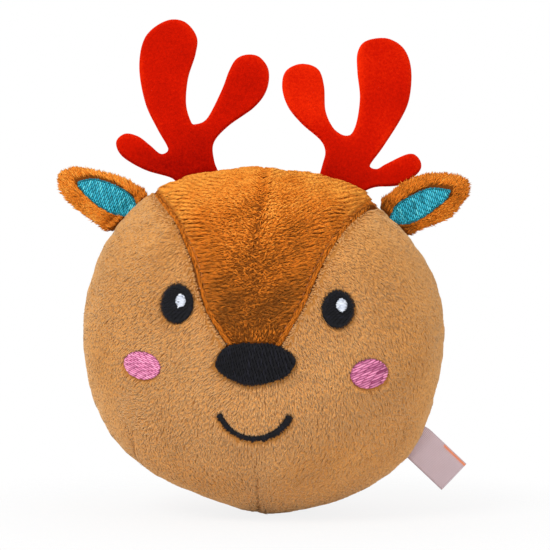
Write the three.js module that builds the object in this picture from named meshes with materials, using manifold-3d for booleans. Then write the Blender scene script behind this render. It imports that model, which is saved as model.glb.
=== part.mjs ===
// A plush ball with a deer's face: pile-fabric panels sewn round stuffing and a squeaker, with two
// ears, two felt antlers and a folded ribbon loop sewn into the seam that runs round the ball's rim.
// Millimetres, +Z up, the face looks along -Y, +X is the viewer's right.
// The origin is on the flat that the ball rests on, below the ball's centre.
// Left and right in the names are the viewer's.
import * as THREE from "three";
import { mergeVertices } from "three/addons/utils/BufferGeometryUtils.js";
import Module from "manifold-3d";

const wasm = await Module();
wasm.setup();

// Ball
const ballHalfWidth = 74.7;
const ballHalfDepth = 66;
const ballHeightAbove = 70.6;
const ballHeightBelow = 72.9;
const pressedFlat = 0.5;

// Places where the stuffing swells the ball, or leaves it slack: the middle of each as an angle in
// the plane of the rim, counted from +X towards +Z, how many degrees it spreads, and its height
const fullness = [
  { toward: 318, spread: 14, height: 3.7 },
  { toward: 248, spread: 9.5, height: -3.1 },
  { toward: 203, spread: 9, height: 1 },
  { toward: 139, spread: 16, height: 3.3 },
  { toward: 57, spread: 9, height: 1.3 },
  { toward: 18, spread: 10, height: 1.2 },
];

// Pile fabric and its seams
const fabricThickness = 2.4;
const rimSeamY = 4;
const seamAllowance = 8;
const seamThreadInset = 5.5;
const threadRadius = 0.5;
const clearance = 0.3;

// Forehead panel: its two edges from the rim down to the nose, as x and z from the ball's centre
const foreheadLeftEdge = [
  [-60, 76],
  [-45.5, 60],
  [-34.6, 47.8],
  [-25.6, 30.4],
  [-20.3, 14.1],
  [-13.5, 0.2],
  [-6.5, -9.5],
];
const foreheadRightEdge = [
  [66, 60],
  [50.5, 55.3],
  [42, 52.8],
  [32, 42.9],
  [23.5, 31.3],
  [16.8, 15],
  [8, 0.2],
  [1, -9.5],
];
const topstitchInset = 1.9;
const topstitchLength = 3.6;
const topstitchRise = 0.3;

// Embroidery, as x and z from the ball's centre
const embroiderySunk = 0.7;
const embroideryProud = 0.2;
const leftEye = { x: -32.8, z: 15.1, halfWidth: 6.4, halfHeight: 7.5, tilt: 0 };
const rightEye = { x: 29.3, z: 13, halfWidth: 6.3, halfHeight: 7.2, tilt: 0 };
const leftHighlight = { x: -31.2, z: 16.3, halfWidth: 2.1, halfHeight: 2.5, tilt: 0 };
const rightHighlight = { x: 30.6, z: 14.7, halfWidth: 2.3, halfHeight: 2.5, tilt: 0 };
const highlightThickness = 0.5;
const leftCheek = { x: -46.8, z: -9.1, halfWidth: 7.5, halfHeight: 5.5, tilt: -10 };
const rightCheek = { x: 41.6, z: -12.2, halfWidth: 7.2, halfHeight: 5.5, tilt: 6 };
const noseOutline = [
  [-17.7, -7.6],
  [-15.6, -3.2],
  [-11.5, -0.6],
  [-2.4, 0.1],
  [5, -0.8],
  [10.7, -3.9],
  [12.8, -7.2],
  [8, -13.1],
  [-4.3, -16],
  [-12.1, -13.6],
  [-16.9, -10.1],
];
const mouth = { x: -2.7, z: -22.4, radius: 14.7, from: 199, to: 336, stroke: 2.2 };

// Squeaker, round the Y axis at the ball's centre
const squeakerRadius = 20;
const squeakerHalfLength = 12;
const squeakerWall = 1;
const squeakerFlatRadius = 13;
const neckRadius = 5.5;
const neckLength = 3.5;
const reedHoleRadius = 1.2;
const reedInsertLength = 6;
const reedFlangeThickness = 1;

// Opening that the ball is turned and filled through, sewn up by hand
const closingGapLength = 50;
const ladderStitchWidth = 3;
const ladderStitchSpacing = 3;

// What is sewn into the rim seam: the angles where its base starts and ends, counted as above
const leftAntlerSeat = { start: 119.2, end: 105.1 };
const rightAntlerSeat = { start: 70.9, end: 55.3 };
const leftEarSeat = { start: 146.6, end: 127.2 };
const rightEarSeat = { start: 49.7, end: 33 };
const loopSeat = { start: -27.6, end: -39.6 };
const tabDepth = 4;
const tabProud = 0.3;
const tabInset = 1;
const tabThickness = 2;

// At rest the antlers lean back and the ears lean forward, so the right ear stands before a tine
const leftAntlerLeansBack = 4;
const rightAntlerLeansBack = 13;
const leftEarLeansForward = 15;
const rightEarLeansForward = 22;

// Antlers: felt cut-outs. Their outlines run from the right of the base over the tines to its left,
// as the distance along the base from its middle and the distance out from the ball
const feltThickness = 3;
const leftAntlerOutline = [
  [8.5, 5.3],
  [10.4, 12.3],
  [18.1, 17.3],
  [30.7, 21.8],
  [37.7, 27.3],
  [40.8, 35],
  [38.8, 41.9],
  [34.2, 44.6],
  [28.5, 44.4],
  [23.8, 40],
  [20.3, 33.2],
  [13.1, 25.7],
  [9.7, 22.6],
  [6.3, 21.5],
  [3.7, 24.1],
  [3.9, 31.1],
  [7.7, 41.2],
  [13.5, 50.1],
  [16, 57.1],
  [12.8, 64.7],
  [5.3, 67.2],
  [-4.6, 63.1],
  [-10.5, 51.8],
  [-12.3, 36.7],
  [-10.6, 24.9],
  [-8.7, 16.7],
  [-11.5, 13.8],
  [-15.3, 18.8],
  [-19.1, 23.9],
  [-24.1, 26.5],
  [-28.6, 24.1],
  [-27.8, 17.7],
  [-20.4, 9.6],
  [-11, 3.4],
];
const rightAntlerOutline = [
  [14, 3.9],
  [22.9, 8.6],
  [28.2, 16.8],
  [26.7, 21.5],
  [21.6, 22.4],
  [14, 15],
  [10.7, 11.1],
  [8.2, 11.4],
  [10.4, 20.9],
  [13, 35.8],
  [12.8, 45.4],
  [9, 56.7],
  [3, 63.5],
  [-5.1, 64.8],
  [-12.8, 60.3],
  [-14.2, 54.3],
  [-11.2, 46.5],
  [-6.5, 37.4],
  [-4, 28.3],
  [-3.5, 22.5],
  [-6.7, 19.9],
  [-12.5, 20.8],
  [-17.6, 26.3],
  [-21.9, 35.6],
  [-26.9, 41.3],
  [-34.2, 40.6],
  [-39, 35.2],
  [-37.8, 28.1],
  [-32.5, 21.5],
  [-24.5, 17],
  [-15, 13.6],
  [-11.2, 9.8],
  [-10.3, 4.6],
];

// Ears: two leaves of pile fabric, the front one with an embroidered patch. Outlines as above
const earEdgeRounding = 1.3;
const leftEarOutline = [
  [11.9, 5.6],
  [9.3, 13.4],
  [2.4, 24.4],
  [-2.4, 30.4],
  [-8.7, 33.1],
  [-13.2, 31.3],
  [-16.5, 25.7],
  [-17, 17.1],
  [-14.6, 6.1],
];
const rightEarOutline = [
  [11.8, 5.7],
  [14, 11.2],
  [16, 18.1],
  [14.3, 29.6],
  [11.3, 34.3],
  [7.3, 35.7],
  [0.5, 32.5],
  [-7.6, 23.3],
  [-11.4, 12.7],
  [-11.3, 4.9],
];
const leftPatchOutline = [
  [4.2, 2],
  [4.2, 7.3],
  [2.6, 13.6],
  [-0.1, 19.5],
  [-3.8, 24.3],
  [-7, 25.8],
  [-8.6, 21.1],
  [-8.7, 15.2],
  [-7.7, 10.1],
  [-5.4, 5.5],
  [-2.6, 1.6],
];
const rightPatchOutline = [
  [3, 1.9],
  [5.3, 4.7],
  [7.8, 10.4],
  [8.9, 17.5],
  [8.2, 23.8],
  [6.2, 27.8],
  [3, 26.3],
  [-0.6, 21.1],
  [-2.7, 15.5],
  [-3.6, 9.2],
  [-3, 2.6],
];
const patchAboveHinge = 0.8;

// Ribbon loop
const ribbonWidth = 15;
const ribbonThickness = 0.5;
const loopLength = 21.5;
const loopInside = 0.8;
const loopLean = 11;

// How finely curved surfaces are cut
const outerAround = 48;
const outerRings = 20;
const innerAround = 28;
const innerRings = 12;
const rimSteps = 36;
const backSeamSteps = 6;
const threadSides = 5;
const squeakerAround = 16;
const squeakerArcSteps = 5;
const pointsPerSpan = 2;
const ellipseSteps = 16;
const mouthSteps = 10;
const foldSteps = 6;
const hingeRollSides = 12;
const earEdgeSteps = 2;

// How closely points are found and joined
const weldDistance = 1e-4;
const slopeStep = 0.5;
const rimPasses = 5;
const facePasses = 40;

const centreHeight = ballHeightBelow - pressedFlat;
const beyond = 3 * ballHalfWidth;

const colours = {
  tanPile: 0xc48b52,
  brownPile: 0xc4762a,
  earPile: 0xc0701f,
  redFelt: 0xc91a05,
  tealThread: 0x33979f,
  pinkThread: 0xd97fa6,
  blackThread: 0x222226,
  whiteThread: 0xdde2ec,
  brownThread: 0x9a5a1e,
  fibre: 0xeeeeea,
  whitePlastic: 0xe6e6e2,
  satin: 0xbba9ab,
};

function fabricMaterial(colour) {
  return new THREE.MeshStandardMaterial({ color: colour, roughness: 0.9, metalness: 0 });
}

function threadMaterial(colour) {
  return new THREE.MeshStandardMaterial({ color: colour, roughness: 0.5, metalness: 0 });
}

// Between three.js geometry and solids that can be joined and cut
function solidOf(geometry) {
  const bare = geometry.clone();
  bare.deleteAttribute("normal");
  bare.deleteAttribute("uv");
  const merged = mergeVertices(bare, weldDistance);
  const vertProperties = new Float32Array(merged.getAttribute("position").array);
  const triVerts = new Uint32Array(merged.index.array);
  return new wasm.Manifold(new wasm.Mesh({ numProp: 3, vertProperties, triVerts }));
}

function geometryOf(solid) {
  const mesh = solid.getMesh();
  const geometry = new THREE.BufferGeometry();
  geometry.setAttribute("position", new THREE.BufferAttribute(new Float32Array(mesh.vertProperties), 3));
  geometry.setIndex(new THREE.BufferAttribute(new Uint32Array(mesh.triVerts), 1));
  geometry.computeVertexNormals();
  return geometry;
}

function addMesh(parent, name, solid, material) {
  const mesh = new THREE.Mesh(geometryOf(solid), material);
  mesh.name = name;
  parent.add(mesh);
}

function joined(solids) {
  return solids.reduce((all, solid) => all.add(solid));
}

function blockBetween(xLow, xHigh, yLow, yHigh, zLow, zHigh) {
  const geometry = new THREE.BoxGeometry(xHigh - xLow, yHigh - yLow, zHigh - zLow);
  return solidOf(geometry.translate((xLow + xHigh) / 2, (yLow + yHigh) / 2, (zLow + zHigh) / 2));
}

// Outlines in the plane of the face: x to the right and z up
function counterClockwise(points) {
  return THREE.ShapeUtils.area(points) < 0 ? points.slice().reverse() : points;
}

function splineThrough(pairs, spans) {
  const points = pairs.map(([x, z]) => new THREE.Vector2(x, z));
  return new THREE.SplineCurve(points).getPoints(spans * (pairs.length - 1));
}

function closedSpline(pairs) {
  const points = pairs.map(([x, z]) => new THREE.Vector3(x, z, 0));
  const curve = new THREE.CatmullRomCurve3(points, true, "centripetal");
  const around = curve.getPoints(pointsPerSpan * pairs.length).slice(0, -1);
  return counterClockwise(around.map((point) => new THREE.Vector2(point.x, point.y)));
}

function ellipseOutline({ x, z, halfWidth, halfHeight, tilt }) {
  const curve = new THREE.EllipseCurve(x, z, halfWidth, halfHeight, 0, 2 * Math.PI, false, 0);
  const middle = new THREE.Vector2(x, z);
  const turn = THREE.MathUtils.degToRad(tilt);
  return curve.getPoints(ellipseSteps).slice(0, -1).map((point) => point.rotateAround(middle, turn));
}

// A closed outline moved outwards by a distance, or inwards where it is negative
function grown(outline, distance) {
  return outline.map((point, i) => {
    const before = outline[(i + outline.length - 1) % outline.length];
    const after = outline[(i + 1) % outline.length];
    const inward = point.clone().sub(before).normalize();
    const outgoing = after.clone().sub(point).normalize();
    const firstNormal = new THREE.Vector2(inward.y, -inward.x);
    const secondNormal = new THREE.Vector2(outgoing.y, -outgoing.x);
    const mitre = distance / (1 + firstNormal.dot(secondNormal));
    return firstNormal.add(secondNormal).multiplyScalar(mitre).add(point);
  });
}

// A prism over an outline in x and z, from one y to a higher one
function prism(outline, yLow, yHigh, bevel = 0) {
  const depth = yHigh - yLow;
  const geometry = new THREE.ExtrudeGeometry(new THREE.Shape(outline), {
    depth: depth - 2 * bevel,
    bevelEnabled: bevel > 0,
    bevelThickness: bevel,
    bevelSize: bevel,
    bevelOffset: -bevel,
    bevelSegments: earEdgeSteps,
  });
  return solidOf(geometry.rotateX(Math.PI / 2).translate(0, yHigh - bevel, 0));
}

// The ball's surface, as its distance from the centre in each direction
function ballRadius(direction) {
  const halfHeight = direction.z > 0 ? ballHeightAbove : ballHeightBelow;
  const stretched = new THREE.Vector3(
    direction.x / ballHalfWidth,
    direction.y / ballHalfDepth,
    direction.z / halfHeight,
  );
  let radius = 1 / stretched.length();
  for (const { toward, spread, height } of fullness) {
    const angle = THREE.MathUtils.degToRad(toward);
    const middle = new THREE.Vector3(Math.cos(angle), 0, Math.sin(angle));
    const away = THREE.MathUtils.radToDeg(middle.angleTo(direction));
    radius += height * Math.exp(-0.5 * (away / spread) ** 2);
  }
  return radius;
}

// The same surface, sunk by an inset, as a closed mesh with its poles on the Y axis
function ballSolid(inset, around, rings) {
  const positions = [];
  const index = [];
  function addPoint(direction) {
    const point = direction.multiplyScalar(ballRadius(direction) - inset);
    positions.push(point.x, point.y, point.z);
  }
  addPoint(new THREE.Vector3(0, -1, 0));
  for (let ring = 1; ring < rings; ring++) {
    const polar = (Math.PI * ring) / rings;
    for (let step = 0; step < around; step++) {
      const turn = (2 * Math.PI * step) / around;
      const wide = Math.sin(polar);
      addPoint(new THREE.Vector3(wide * Math.cos(turn), -Math.cos(polar), wide * Math.sin(turn)));
    }
  }
  addPoint(new THREE.Vector3(0, 1, 0));
  const last = positions.length / 3 - 1;
  for (let step = 0; step < around; step++) {
    const next = (step + 1) % around;
    index.push(0, 1 + step, 1 + next);
    for (let ring = 1; ring < rings - 1; ring++) {
      const near = 1 + (ring - 1) * around;
      const far = near + around;
      index.push(near + step, far + step, far + next);
      index.push(near + step, far + next, near + next);
    }
    index.push(last, last - around + next, last - around + step);
  }
  const geometry = new THREE.BufferGeometry();
  geometry.setAttribute("position", new THREE.Float32BufferAttribute(positions, 3));
  geometry.setIndex(index);
  return solidOf(geometry);
}

// A point of the rim at an angle in the seam's plane, sunk by an inset
function rimPoint(angleDegrees, inset) {
  const angle = THREE.MathUtils.degToRad(angleDegrees);
  let reach = ballHalfWidth;
  for (let pass = 0; pass < rimPasses; pass++) {
    const point = new THREE.Vector3(reach * Math.cos(angle), rimSeamY, reach * Math.sin(angle));
    const radius = ballRadius(point.normalize()) - inset;
    reach = Math.sqrt(radius ** 2 - rimSeamY ** 2);
  }
  return new THREE.Vector3(reach * Math.cos(angle), rimSeamY, reach * Math.sin(angle));
}

// A point of the centre back line at an angle above the horizontal, sunk by an inset
function backPoint(angleDegrees, inset) {
  const angle = THREE.MathUtils.degToRad(angleDegrees);
  const direction = new THREE.Vector3(0, Math.cos(angle), Math.sin(angle));
  return direction.multiplyScalar(ballRadius(direction) - inset);
}

// The point of the face straight ahead of x and z, found by halving
function facePoint(x, z) {
  let outside = -beyond;
  let inside = 0;
  for (let pass = 0; pass < facePasses; pass++) {
    const y = (outside + inside) / 2;
    const point = new THREE.Vector3(x, y, z);
    if (point.length() < ballRadius(point.clone().normalize())) inside = y;
    else outside = y;
  }
  return new THREE.Vector3(x, inside, z);
}

function surfaceNormal(point) {
  const step = slopeStep;
  function outsideBy(x, y, z) {
    const moved = new THREE.Vector3(point.x + x, point.y + y, point.z + z);
    return moved.length() - ballRadius(moved.clone().normalize());
  }
  return new THREE.Vector3(
    outsideBy(step, 0, 0) - outsideBy(-step, 0, 0),
    outsideBy(0, step, 0) - outsideBy(0, -step, 0),
    outsideBy(0, 0, step) - outsideBy(0, 0, -step),
  ).normalize();
}

// A round thread along points, each with the direction that is up there, closed on itself or
// with flat ends
function threadAlong(points, ups, radius, closed = false) {
  const count = points.length;
  const positions = [];
  const index = [];
  points.forEach((point, i) => {
    const before = points[closed ? (i + count - 1) % count : Math.max(i - 1, 0)];
    const after = points[closed ? (i + 1) % count : Math.min(i + 1, count - 1)];
    const forward = after.clone().sub(before).normalize();
    const side = ups[i].clone().cross(forward).normalize();
    const up = forward.clone().cross(side);
    for (let corner = 0; corner < threadSides; corner++) {
      const turn = (2 * Math.PI * corner) / threadSides;
      const at = point.clone().addScaledVector(side, radius * Math.cos(turn));
      at.addScaledVector(up, radius * Math.sin(turn));
      positions.push(at.x, at.y, at.z);
    }
  });
  for (let i = 0; i < (closed ? count : count - 1); i++) {
    const ring = i * threadSides;
    const nextRing = ((i + 1) % count) * threadSides;
    for (let corner = 0; corner < threadSides; corner++) {
      const next = (corner + 1) % threadSides;
      index.push(ring + corner, ring + next, nextRing + next);
      index.push(ring + corner, nextRing + next, nextRing + corner);
    }
  }
  if (!closed) {
    const lastRing = (count - 1) * threadSides;
    for (let corner = 1; corner < threadSides - 1; corner++) {
      index.push(0, corner + 1, corner);
      index.push(lastRing, lastRing + corner, lastRing + corner + 1);
    }
  }
  const geometry = new THREE.BufferGeometry();
  geometry.setAttribute("position", new THREE.Float32BufferAttribute(positions, 3));
  geometry.setIndex(index);
  return solidOf(geometry);
}

// A thread lying on the ball through points of its surface, each with its height above it
function threadOnBall(points, heights) {
  const normals = points.map(surfaceNormal);
  const raised = points.map((point, i) => {
    const height = clearance + threadRadius + heights[i];
    return point.clone().addScaledVector(normals[i], height);
  });
  return threadAlong(raised, normals, threadRadius);
}

// A turned solid round the Y axis, from pairs of radius and y
function turned(pairs) {
  const profile = pairs.map(([radius, y]) => new THREE.Vector2(radius, y));
  return solidOf(new THREE.LatheGeometry(profile, squeakerAround));
}

// A place in the rim seam that something is sewn into: its group has x along the seam and z out of
// the ball, and in it the swinging group turns about the hinge line, which is its x axis
function seatOnRim({ start, end }, thickness, leansForward) {
  const first = rimPoint(start, 0);
  const last = rimPoint(end, 0);
  const along = last.clone().sub(first);
  const group = new THREE.Group();
  group.position.copy(rimPoint((start + end) / 2, 0));
  group.rotation.y = Math.atan2(-along.z, along.x);
  group.updateMatrix();
  const swinging = new THREE.Group();
  swinging.position.z = thickness / 2 + clearance + tabProud;
  swinging.rotation.x = THREE.MathUtils.degToRad(leansForward);
  group.add(swinging);
  return { group, swinging, width: along.length(), hingeHeight: swinging.position.z };
}

// The part of a sewn-in piece that lies between the seam's two allowances, in its seat's frame
function tabBox(seat, thickness, top, margin) {
  const width = seat.width - 2 * tabInset + 2 * margin;
  const height = top + tabDepth + margin;
  const geometry = new THREE.BoxGeometry(width, thickness + 2 * margin, height);
  return geometry.translate(0, 0, top - height / 2);
}

function tabSolid(seat, thickness) {
  return solidOf(tabBox(seat, thickness, tabProud, 0));
}

function pocketSolid(seat, thickness) {
  const clearOfBall = tabDepth;
  return solidOf(tabBox(seat, thickness, clearOfBall, clearance).applyMatrix4(seat.group.matrix));
}

// All that lies above the hinge line, with a round under it that turns about the line
function aboveHinge(thickness) {
  const round = new THREE.CylinderGeometry(thickness / 2, thickness / 2, beyond, hingeRollSides);
  const roll = solidOf(round.rotateZ(Math.PI / 2));
  return blockBetween(-beyond, beyond, -beyond, beyond, 0, beyond).add(roll);
}

// Heights above the ball, as heights above the hinge line
function fromHinge(pairs, seat) {
  return pairs.map(([along, out]) => [along, out - seat.hingeHeight]);
}

// The outline of a piece whose base is as wide as its seat
function sewnOutline(pairs, seat, thickness) {
  const halfBase = seat.width / 2;
  const ends = [[halfBase, -thickness], [-halfBase, -thickness]];
  const curve = splineThrough([ends[0], ...fromHinge(pairs, seat), ends[1]], pointsPerSpan);
  return counterClockwise(curve);
}

function antlerSolid(pairs, seat) {
  const outline = sewnOutline(pairs, seat, feltThickness);
  return prism(outline, -feltThickness / 2, feltThickness / 2).intersect(aboveHinge(feltThickness));
}

function earSolid(pairs, seat) {
  const outline = sewnOutline(pairs, seat, earThickness);
  const whole = prism(outline, -earThickness / 2, earThickness / 2, earEdgeRounding);
  return whole.intersect(aboveHinge(earThickness));
}

const model = new THREE.Group();
const ball = new THREE.Group();
ball.position.z = centreHeight;
model.add(ball);

const earThickness = 2 * fabricThickness + clearance;
const loopThickness = 2 * ribbonThickness + loopInside;
const ribbonTabThickness = 2 * ribbonThickness;
const antlerSeats = {
  left: seatOnRim(leftAntlerSeat, feltThickness, -leftAntlerLeansBack),
  right: seatOnRim(rightAntlerSeat, feltThickness, -rightAntlerLeansBack),
};
const earSeats = {
  left: seatOnRim(leftEarSeat, earThickness, leftEarLeansForward),
  right: seatOnRim(rightEarSeat, earThickness, rightEarLeansForward),
};
const ribbonSeat = seatOnRim(loopSeat, loopThickness, 0);

// Halves of space on each side of the seams, drawn back from them by a margin
function ahead(margin) {
  return blockBetween(-beyond, beyond, -beyond, rimSeamY - margin, -beyond, beyond);
}

function behindLeft(margin) {
  return blockBetween(-beyond, -margin, rimSeamY + margin, beyond, -beyond, beyond);
}

function behindRight(margin) {
  return blockBetween(margin, beyond, rimSeamY + margin, beyond, -beyond, beyond);
}

// Stuffing space: inside the fabric, between the allowances that turn in at each seam
function fillSpace(margin) {
  const cloth = ballSolid(fabricThickness + margin, innerAround, innerRings);
  const core = ballSolid(seamAllowance + margin, innerAround, innerRings);
  const setBack = clearance / 2 + fabricThickness + margin;
  const lobes = [ahead(setBack), behindLeft(setBack), behindRight(setBack)];
  return joined(lobes.map((side) => cloth.intersect(side))).add(core);
}

const skin = ballSolid(0, outerAround, outerRings)
  .intersect(blockBetween(-beyond, beyond, -beyond, beyond, -centreHeight, beyond))
  .subtract(fillSpace(0));

// Seam threads, and the room for them between the allowances
const rimThreadPoints = [];
for (let step = 0; step < rimSteps; step++) {
  rimThreadPoints.push(rimPoint((360 * step) / rimSteps, seamThreadInset));
}
const closingHalfAngle = THREE.MathUtils.radToDeg(closingGapLength / 2 / ballHalfDepth);
const backThreadEnd = 90 - THREE.MathUtils.radToDeg((rimSeamY + seamThreadInset) / ballHeightAbove);
const backwards = new THREE.Vector3(0, 1, 0);
const sideways = new THREE.Vector3(1, 0, 0);

function rimThread(radius) {
  return threadAlong(rimThreadPoints, rimThreadPoints.map(() => backwards), radius, true);
}

// From the closing gap up to the rim, or down to it where the side is -1
function backThread(side, radius) {
  const points = [];
  for (let step = 0; step <= backSeamSteps; step++) {
    const share = step / backSeamSteps;
    const angle = closingHalfAngle + share * (backThreadEnd - closingHalfAngle);
    points.push(backPoint(side * angle, seamThreadInset));
  }
  return threadAlong(points, points.map(() => sideways), radius);
}

// Embroidery: a patch sunk into the pile, and the hollow that it lies in
function onFace(outline) {
  return prism(outline, -beyond, 0);
}

const bareFace = ballSolid(embroiderySunk, outerAround, outerRings);
const proudFace = ballSolid(-embroideryProud, outerAround, outerRings);
const hollowFace = ballSolid(embroiderySunk + clearance, outerAround, outerRings);

function patchSolid(outline) {
  return proudFace.intersect(onFace(outline)).subtract(bareFace);
}

function hollowSolid(outline) {
  return onFace(grown(outline, clearance)).subtract(hollowFace);
}

function mouthOutline() {
  const from = THREE.MathUtils.degToRad(mouth.from);
  const to = THREE.MathUtils.degToRad(mouth.to);
  function edge(radius) {
    return new THREE.EllipseCurve(mouth.x, mouth.z, radius, radius, from, to).getPoints(mouthSteps);
  }
  const outer = edge(mouth.radius + mouth.stroke / 2);
  const inner = edge(mouth.radius - mouth.stroke / 2);
  return counterClockwise([...outer, ...inner.reverse()]);
}

const faceOutlines = {
  left_eye: ellipseOutline(leftEye),
  right_eye: ellipseOutline(rightEye),
  nose_embroidery: closedSpline(noseOutline),
  mouth_embroidery: mouthOutline(),
  left_cheek: ellipseOutline(leftCheek),
  right_cheek: ellipseOutline(rightCheek),
};
const hollows = joined(Object.values(faceOutlines).map(hollowSolid));

// Front of the ball: the face panel and the forehead panel let into it
const foreheadOutline = counterClockwise([
  ...splineThrough(foreheadLeftEdge, pointsPerSpan),
  ...splineThrough(foreheadRightEdge, pointsPerSpan).reverse(),
  new THREE.Vector2(foreheadRightEdge[0][0], beyond),
  new THREE.Vector2(foreheadLeftEdge[0][0], beyond),
]);
const pockets = joined([
  pocketSolid(antlerSeats.left, tabThickness),
  pocketSolid(antlerSeats.right, tabThickness),
  pocketSolid(earSeats.left, tabThickness),
  pocketSolid(earSeats.right, tabThickness),
  pocketSolid(ribbonSeat, ribbonTabThickness),
]);
const seamRoom = joined([
  pockets,
  rimThread(threadRadius + clearance),
  backThread(1, threadRadius + clearance),
  backThread(-1, threadRadius + clearance),
]);
const front = skin.intersect(ahead(clearance / 2)).subtract(hollows).subtract(seamRoom);
const forehead = front.intersect(prism(grown(foreheadOutline, -clearance / 2), -beyond, beyond));
const face = front.subtract(prism(grown(foreheadOutline, clearance / 2), -beyond, beyond));
addMesh(ball, "face_panel", face, fabricMaterial(colours.tanPile));
addMesh(ball, "forehead_panel", forehead, fabricMaterial(colours.brownPile));

// Back of the ball: two panels joined down the middle
const backLeft = skin.intersect(behindLeft(clearance / 2)).subtract(seamRoom);
const backRight = skin.intersect(behindRight(clearance / 2)).subtract(seamRoom);
addMesh(ball, "back_panel_left", backLeft, fabricMaterial(colours.brownPile));
addMesh(ball, "back_panel_right", backRight, fabricMaterial(colours.brownPile));
addMesh(ball, "rim_seam_thread", rimThread(threadRadius), threadMaterial(colours.brownThread));
for (const [name, side] of [["back_seam_thread_upper", 1], ["back_seam_thread_lower", -1]]) {
  addMesh(ball, name, backThread(side, threadRadius), threadMaterial(colours.brownThread));
}

// Hand stitches that close the gap down the middle of the back, over the seam and back like a ladder
const ladderPoints = [];
const ladderCount = Math.round(closingGapLength / ladderStitchSpacing);
for (let step = 0; step <= ladderCount; step++) {
  const height = (step - ladderCount / 2) * ladderStitchSpacing;
  const onSeam = backPoint(THREE.MathUtils.radToDeg(height / ballHalfDepth), 0);
  const side = step % 2 ? 1 : -1;
  for (const turn of [side, -side]) {
    const direction = onSeam.clone().setX((turn * ladderStitchWidth) / 2).normalize();
    ladderPoints.push(direction.clone().multiplyScalar(ballRadius(direction)));
  }
}
const closingStitch = threadOnBall(ladderPoints, ladderPoints.map(() => 0));
addMesh(ball, "closing_stitch", closingStitch, threadMaterial(colours.brownThread));

// Topstitching just inside the forehead panel's edges, from the rim down to the nose
const noseTop = Math.max(...faceOutlines.nose_embroidery.map((point) => point.y));

function topstitch(edgePairs, inwardSign) {
  const edge = new THREE.SplineCurve(edgePairs.map(([x, z]) => new THREE.Vector2(x, z)));
  const halfStitches = Math.floor((2 * edge.getLength()) / topstitchLength);
  const points = [];
  const heights = [];
  for (let step = 0; step < halfStitches; step++) {
    const share = (step * topstitchLength) / 2 / edge.getLength();
    const tangent = edge.getTangentAt(share);
    const across = new THREE.Vector2(-tangent.y, tangent.x).multiplyScalar(inwardSign * topstitchInset);
    const place = edge.getPointAt(share).add(across);
    const reach = rimPoint(THREE.MathUtils.radToDeg(place.angle()), 0);
    const onTheBall = place.length() < Math.hypot(reach.x, reach.z) - topstitchLength;
    if (!onTheBall || place.y < noseTop + topstitchLength) continue;
    points.push(facePoint(place.x, place.y));
    heights.push(step % 2 ? topstitchRise : 0);
  }
  return threadOnBall(points, heights);
}

const leftTopstitch = topstitch(foreheadLeftEdge, 1);
const rightTopstitch = topstitch(foreheadRightEdge, -1);
addMesh(ball, "forehead_topstitch_left", leftTopstitch, threadMaterial(colours.brownThread));
addMesh(ball, "forehead_topstitch_right", rightTopstitch, threadMaterial(colours.brownThread));

// Face embroidery
const faceThreads = {
  left_eye: colours.blackThread,
  right_eye: colours.blackThread,
  nose_embroidery: colours.blackThread,
  mouth_embroidery: colours.blackThread,
  left_cheek: colours.pinkThread,
  right_cheek: colours.pinkThread,
};
for (const [name, outline] of Object.entries(faceOutlines)) {
  addMesh(ball, name, patchSolid(outline), threadMaterial(faceThreads[name]));
}
const highlightRaised = embroideryProud + clearance;
const highlightFoot = ballSolid(-highlightRaised, outerAround, outerRings);
const highlightTop = ballSolid(-highlightRaised - highlightThickness, outerAround, outerRings);
for (const [side, shape] of [["left", leftHighlight], ["right", rightHighlight]]) {
  const solid = highlightTop.intersect(onFace(ellipseOutline(shape))).subtract(highlightFoot);
  addMesh(ball, side + "_eye_highlight", solid, threadMaterial(colours.whiteThread));
}

// Squeaker: a blown shell with a neck that holds the reed
function shellArc(inset) {
  const pairs = [];
  for (let step = 0; step <= squeakerArcSteps; step++) {
    const turn = -Math.PI / 2 + (Math.PI * step) / squeakerArcSteps;
    const bulge = squeakerRadius - squeakerFlatRadius - inset;
    const halfLength = squeakerHalfLength - inset;
    pairs.push([squeakerFlatRadius + bulge * Math.cos(turn), halfLength * Math.sin(turn)]);
  }
  return pairs;
}

const neckTop = squeakerHalfLength + neckLength;
const neckBore = neckRadius - squeakerWall;
const squeakerShell = turned([
  [0, -squeakerHalfLength],
  ...shellArc(0),
  [neckRadius, squeakerHalfLength],
  [neckRadius, neckTop],
  [neckBore, neckTop],
  [neckBore, squeakerHalfLength - squeakerWall],
  ...shellArc(squeakerWall).reverse(),
  [0, -squeakerHalfLength + squeakerWall],
]);
addMesh(ball, "squeaker_shell", squeakerShell, fabricMaterial(colours.whitePlastic));
const reedFlangeTop = neckTop + clearance + reedFlangeThickness;
const reedRadius = neckBore - clearance;
const squeakerReed = turned([
  [reedHoleRadius, neckTop - reedInsertLength],
  [reedRadius, neckTop - reedInsertLength],
  [reedRadius, neckTop + clearance],
  [neckRadius, neckTop + clearance],
  [neckRadius, reedFlangeTop],
  [reedHoleRadius, reedFlangeTop],
  [reedHoleRadius, neckTop - reedInsertLength],
]);
addMesh(ball, "squeaker_reed", squeakerReed, fabricMaterial(colours.whitePlastic));

// Stuffing, open at the back where the squeaker went in, and the handful that closes it
const squeakerRoom = turned([
  [0, -squeakerHalfLength - clearance],
  ...shellArc(-clearance),
  [neckRadius + clearance, squeakerHalfLength + clearance],
  [neckRadius + clearance, reedFlangeTop + clearance],
  [0, reedFlangeTop + clearance],
]);
const channelRadius = squeakerRadius + 2 * clearance;
const plugFoot = squeakerHalfLength + 2 * clearance;

function channel(radius, foot) {
  return turned([[0, foot], [radius, foot], [radius, beyond], [0, beyond]]);
}

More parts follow.
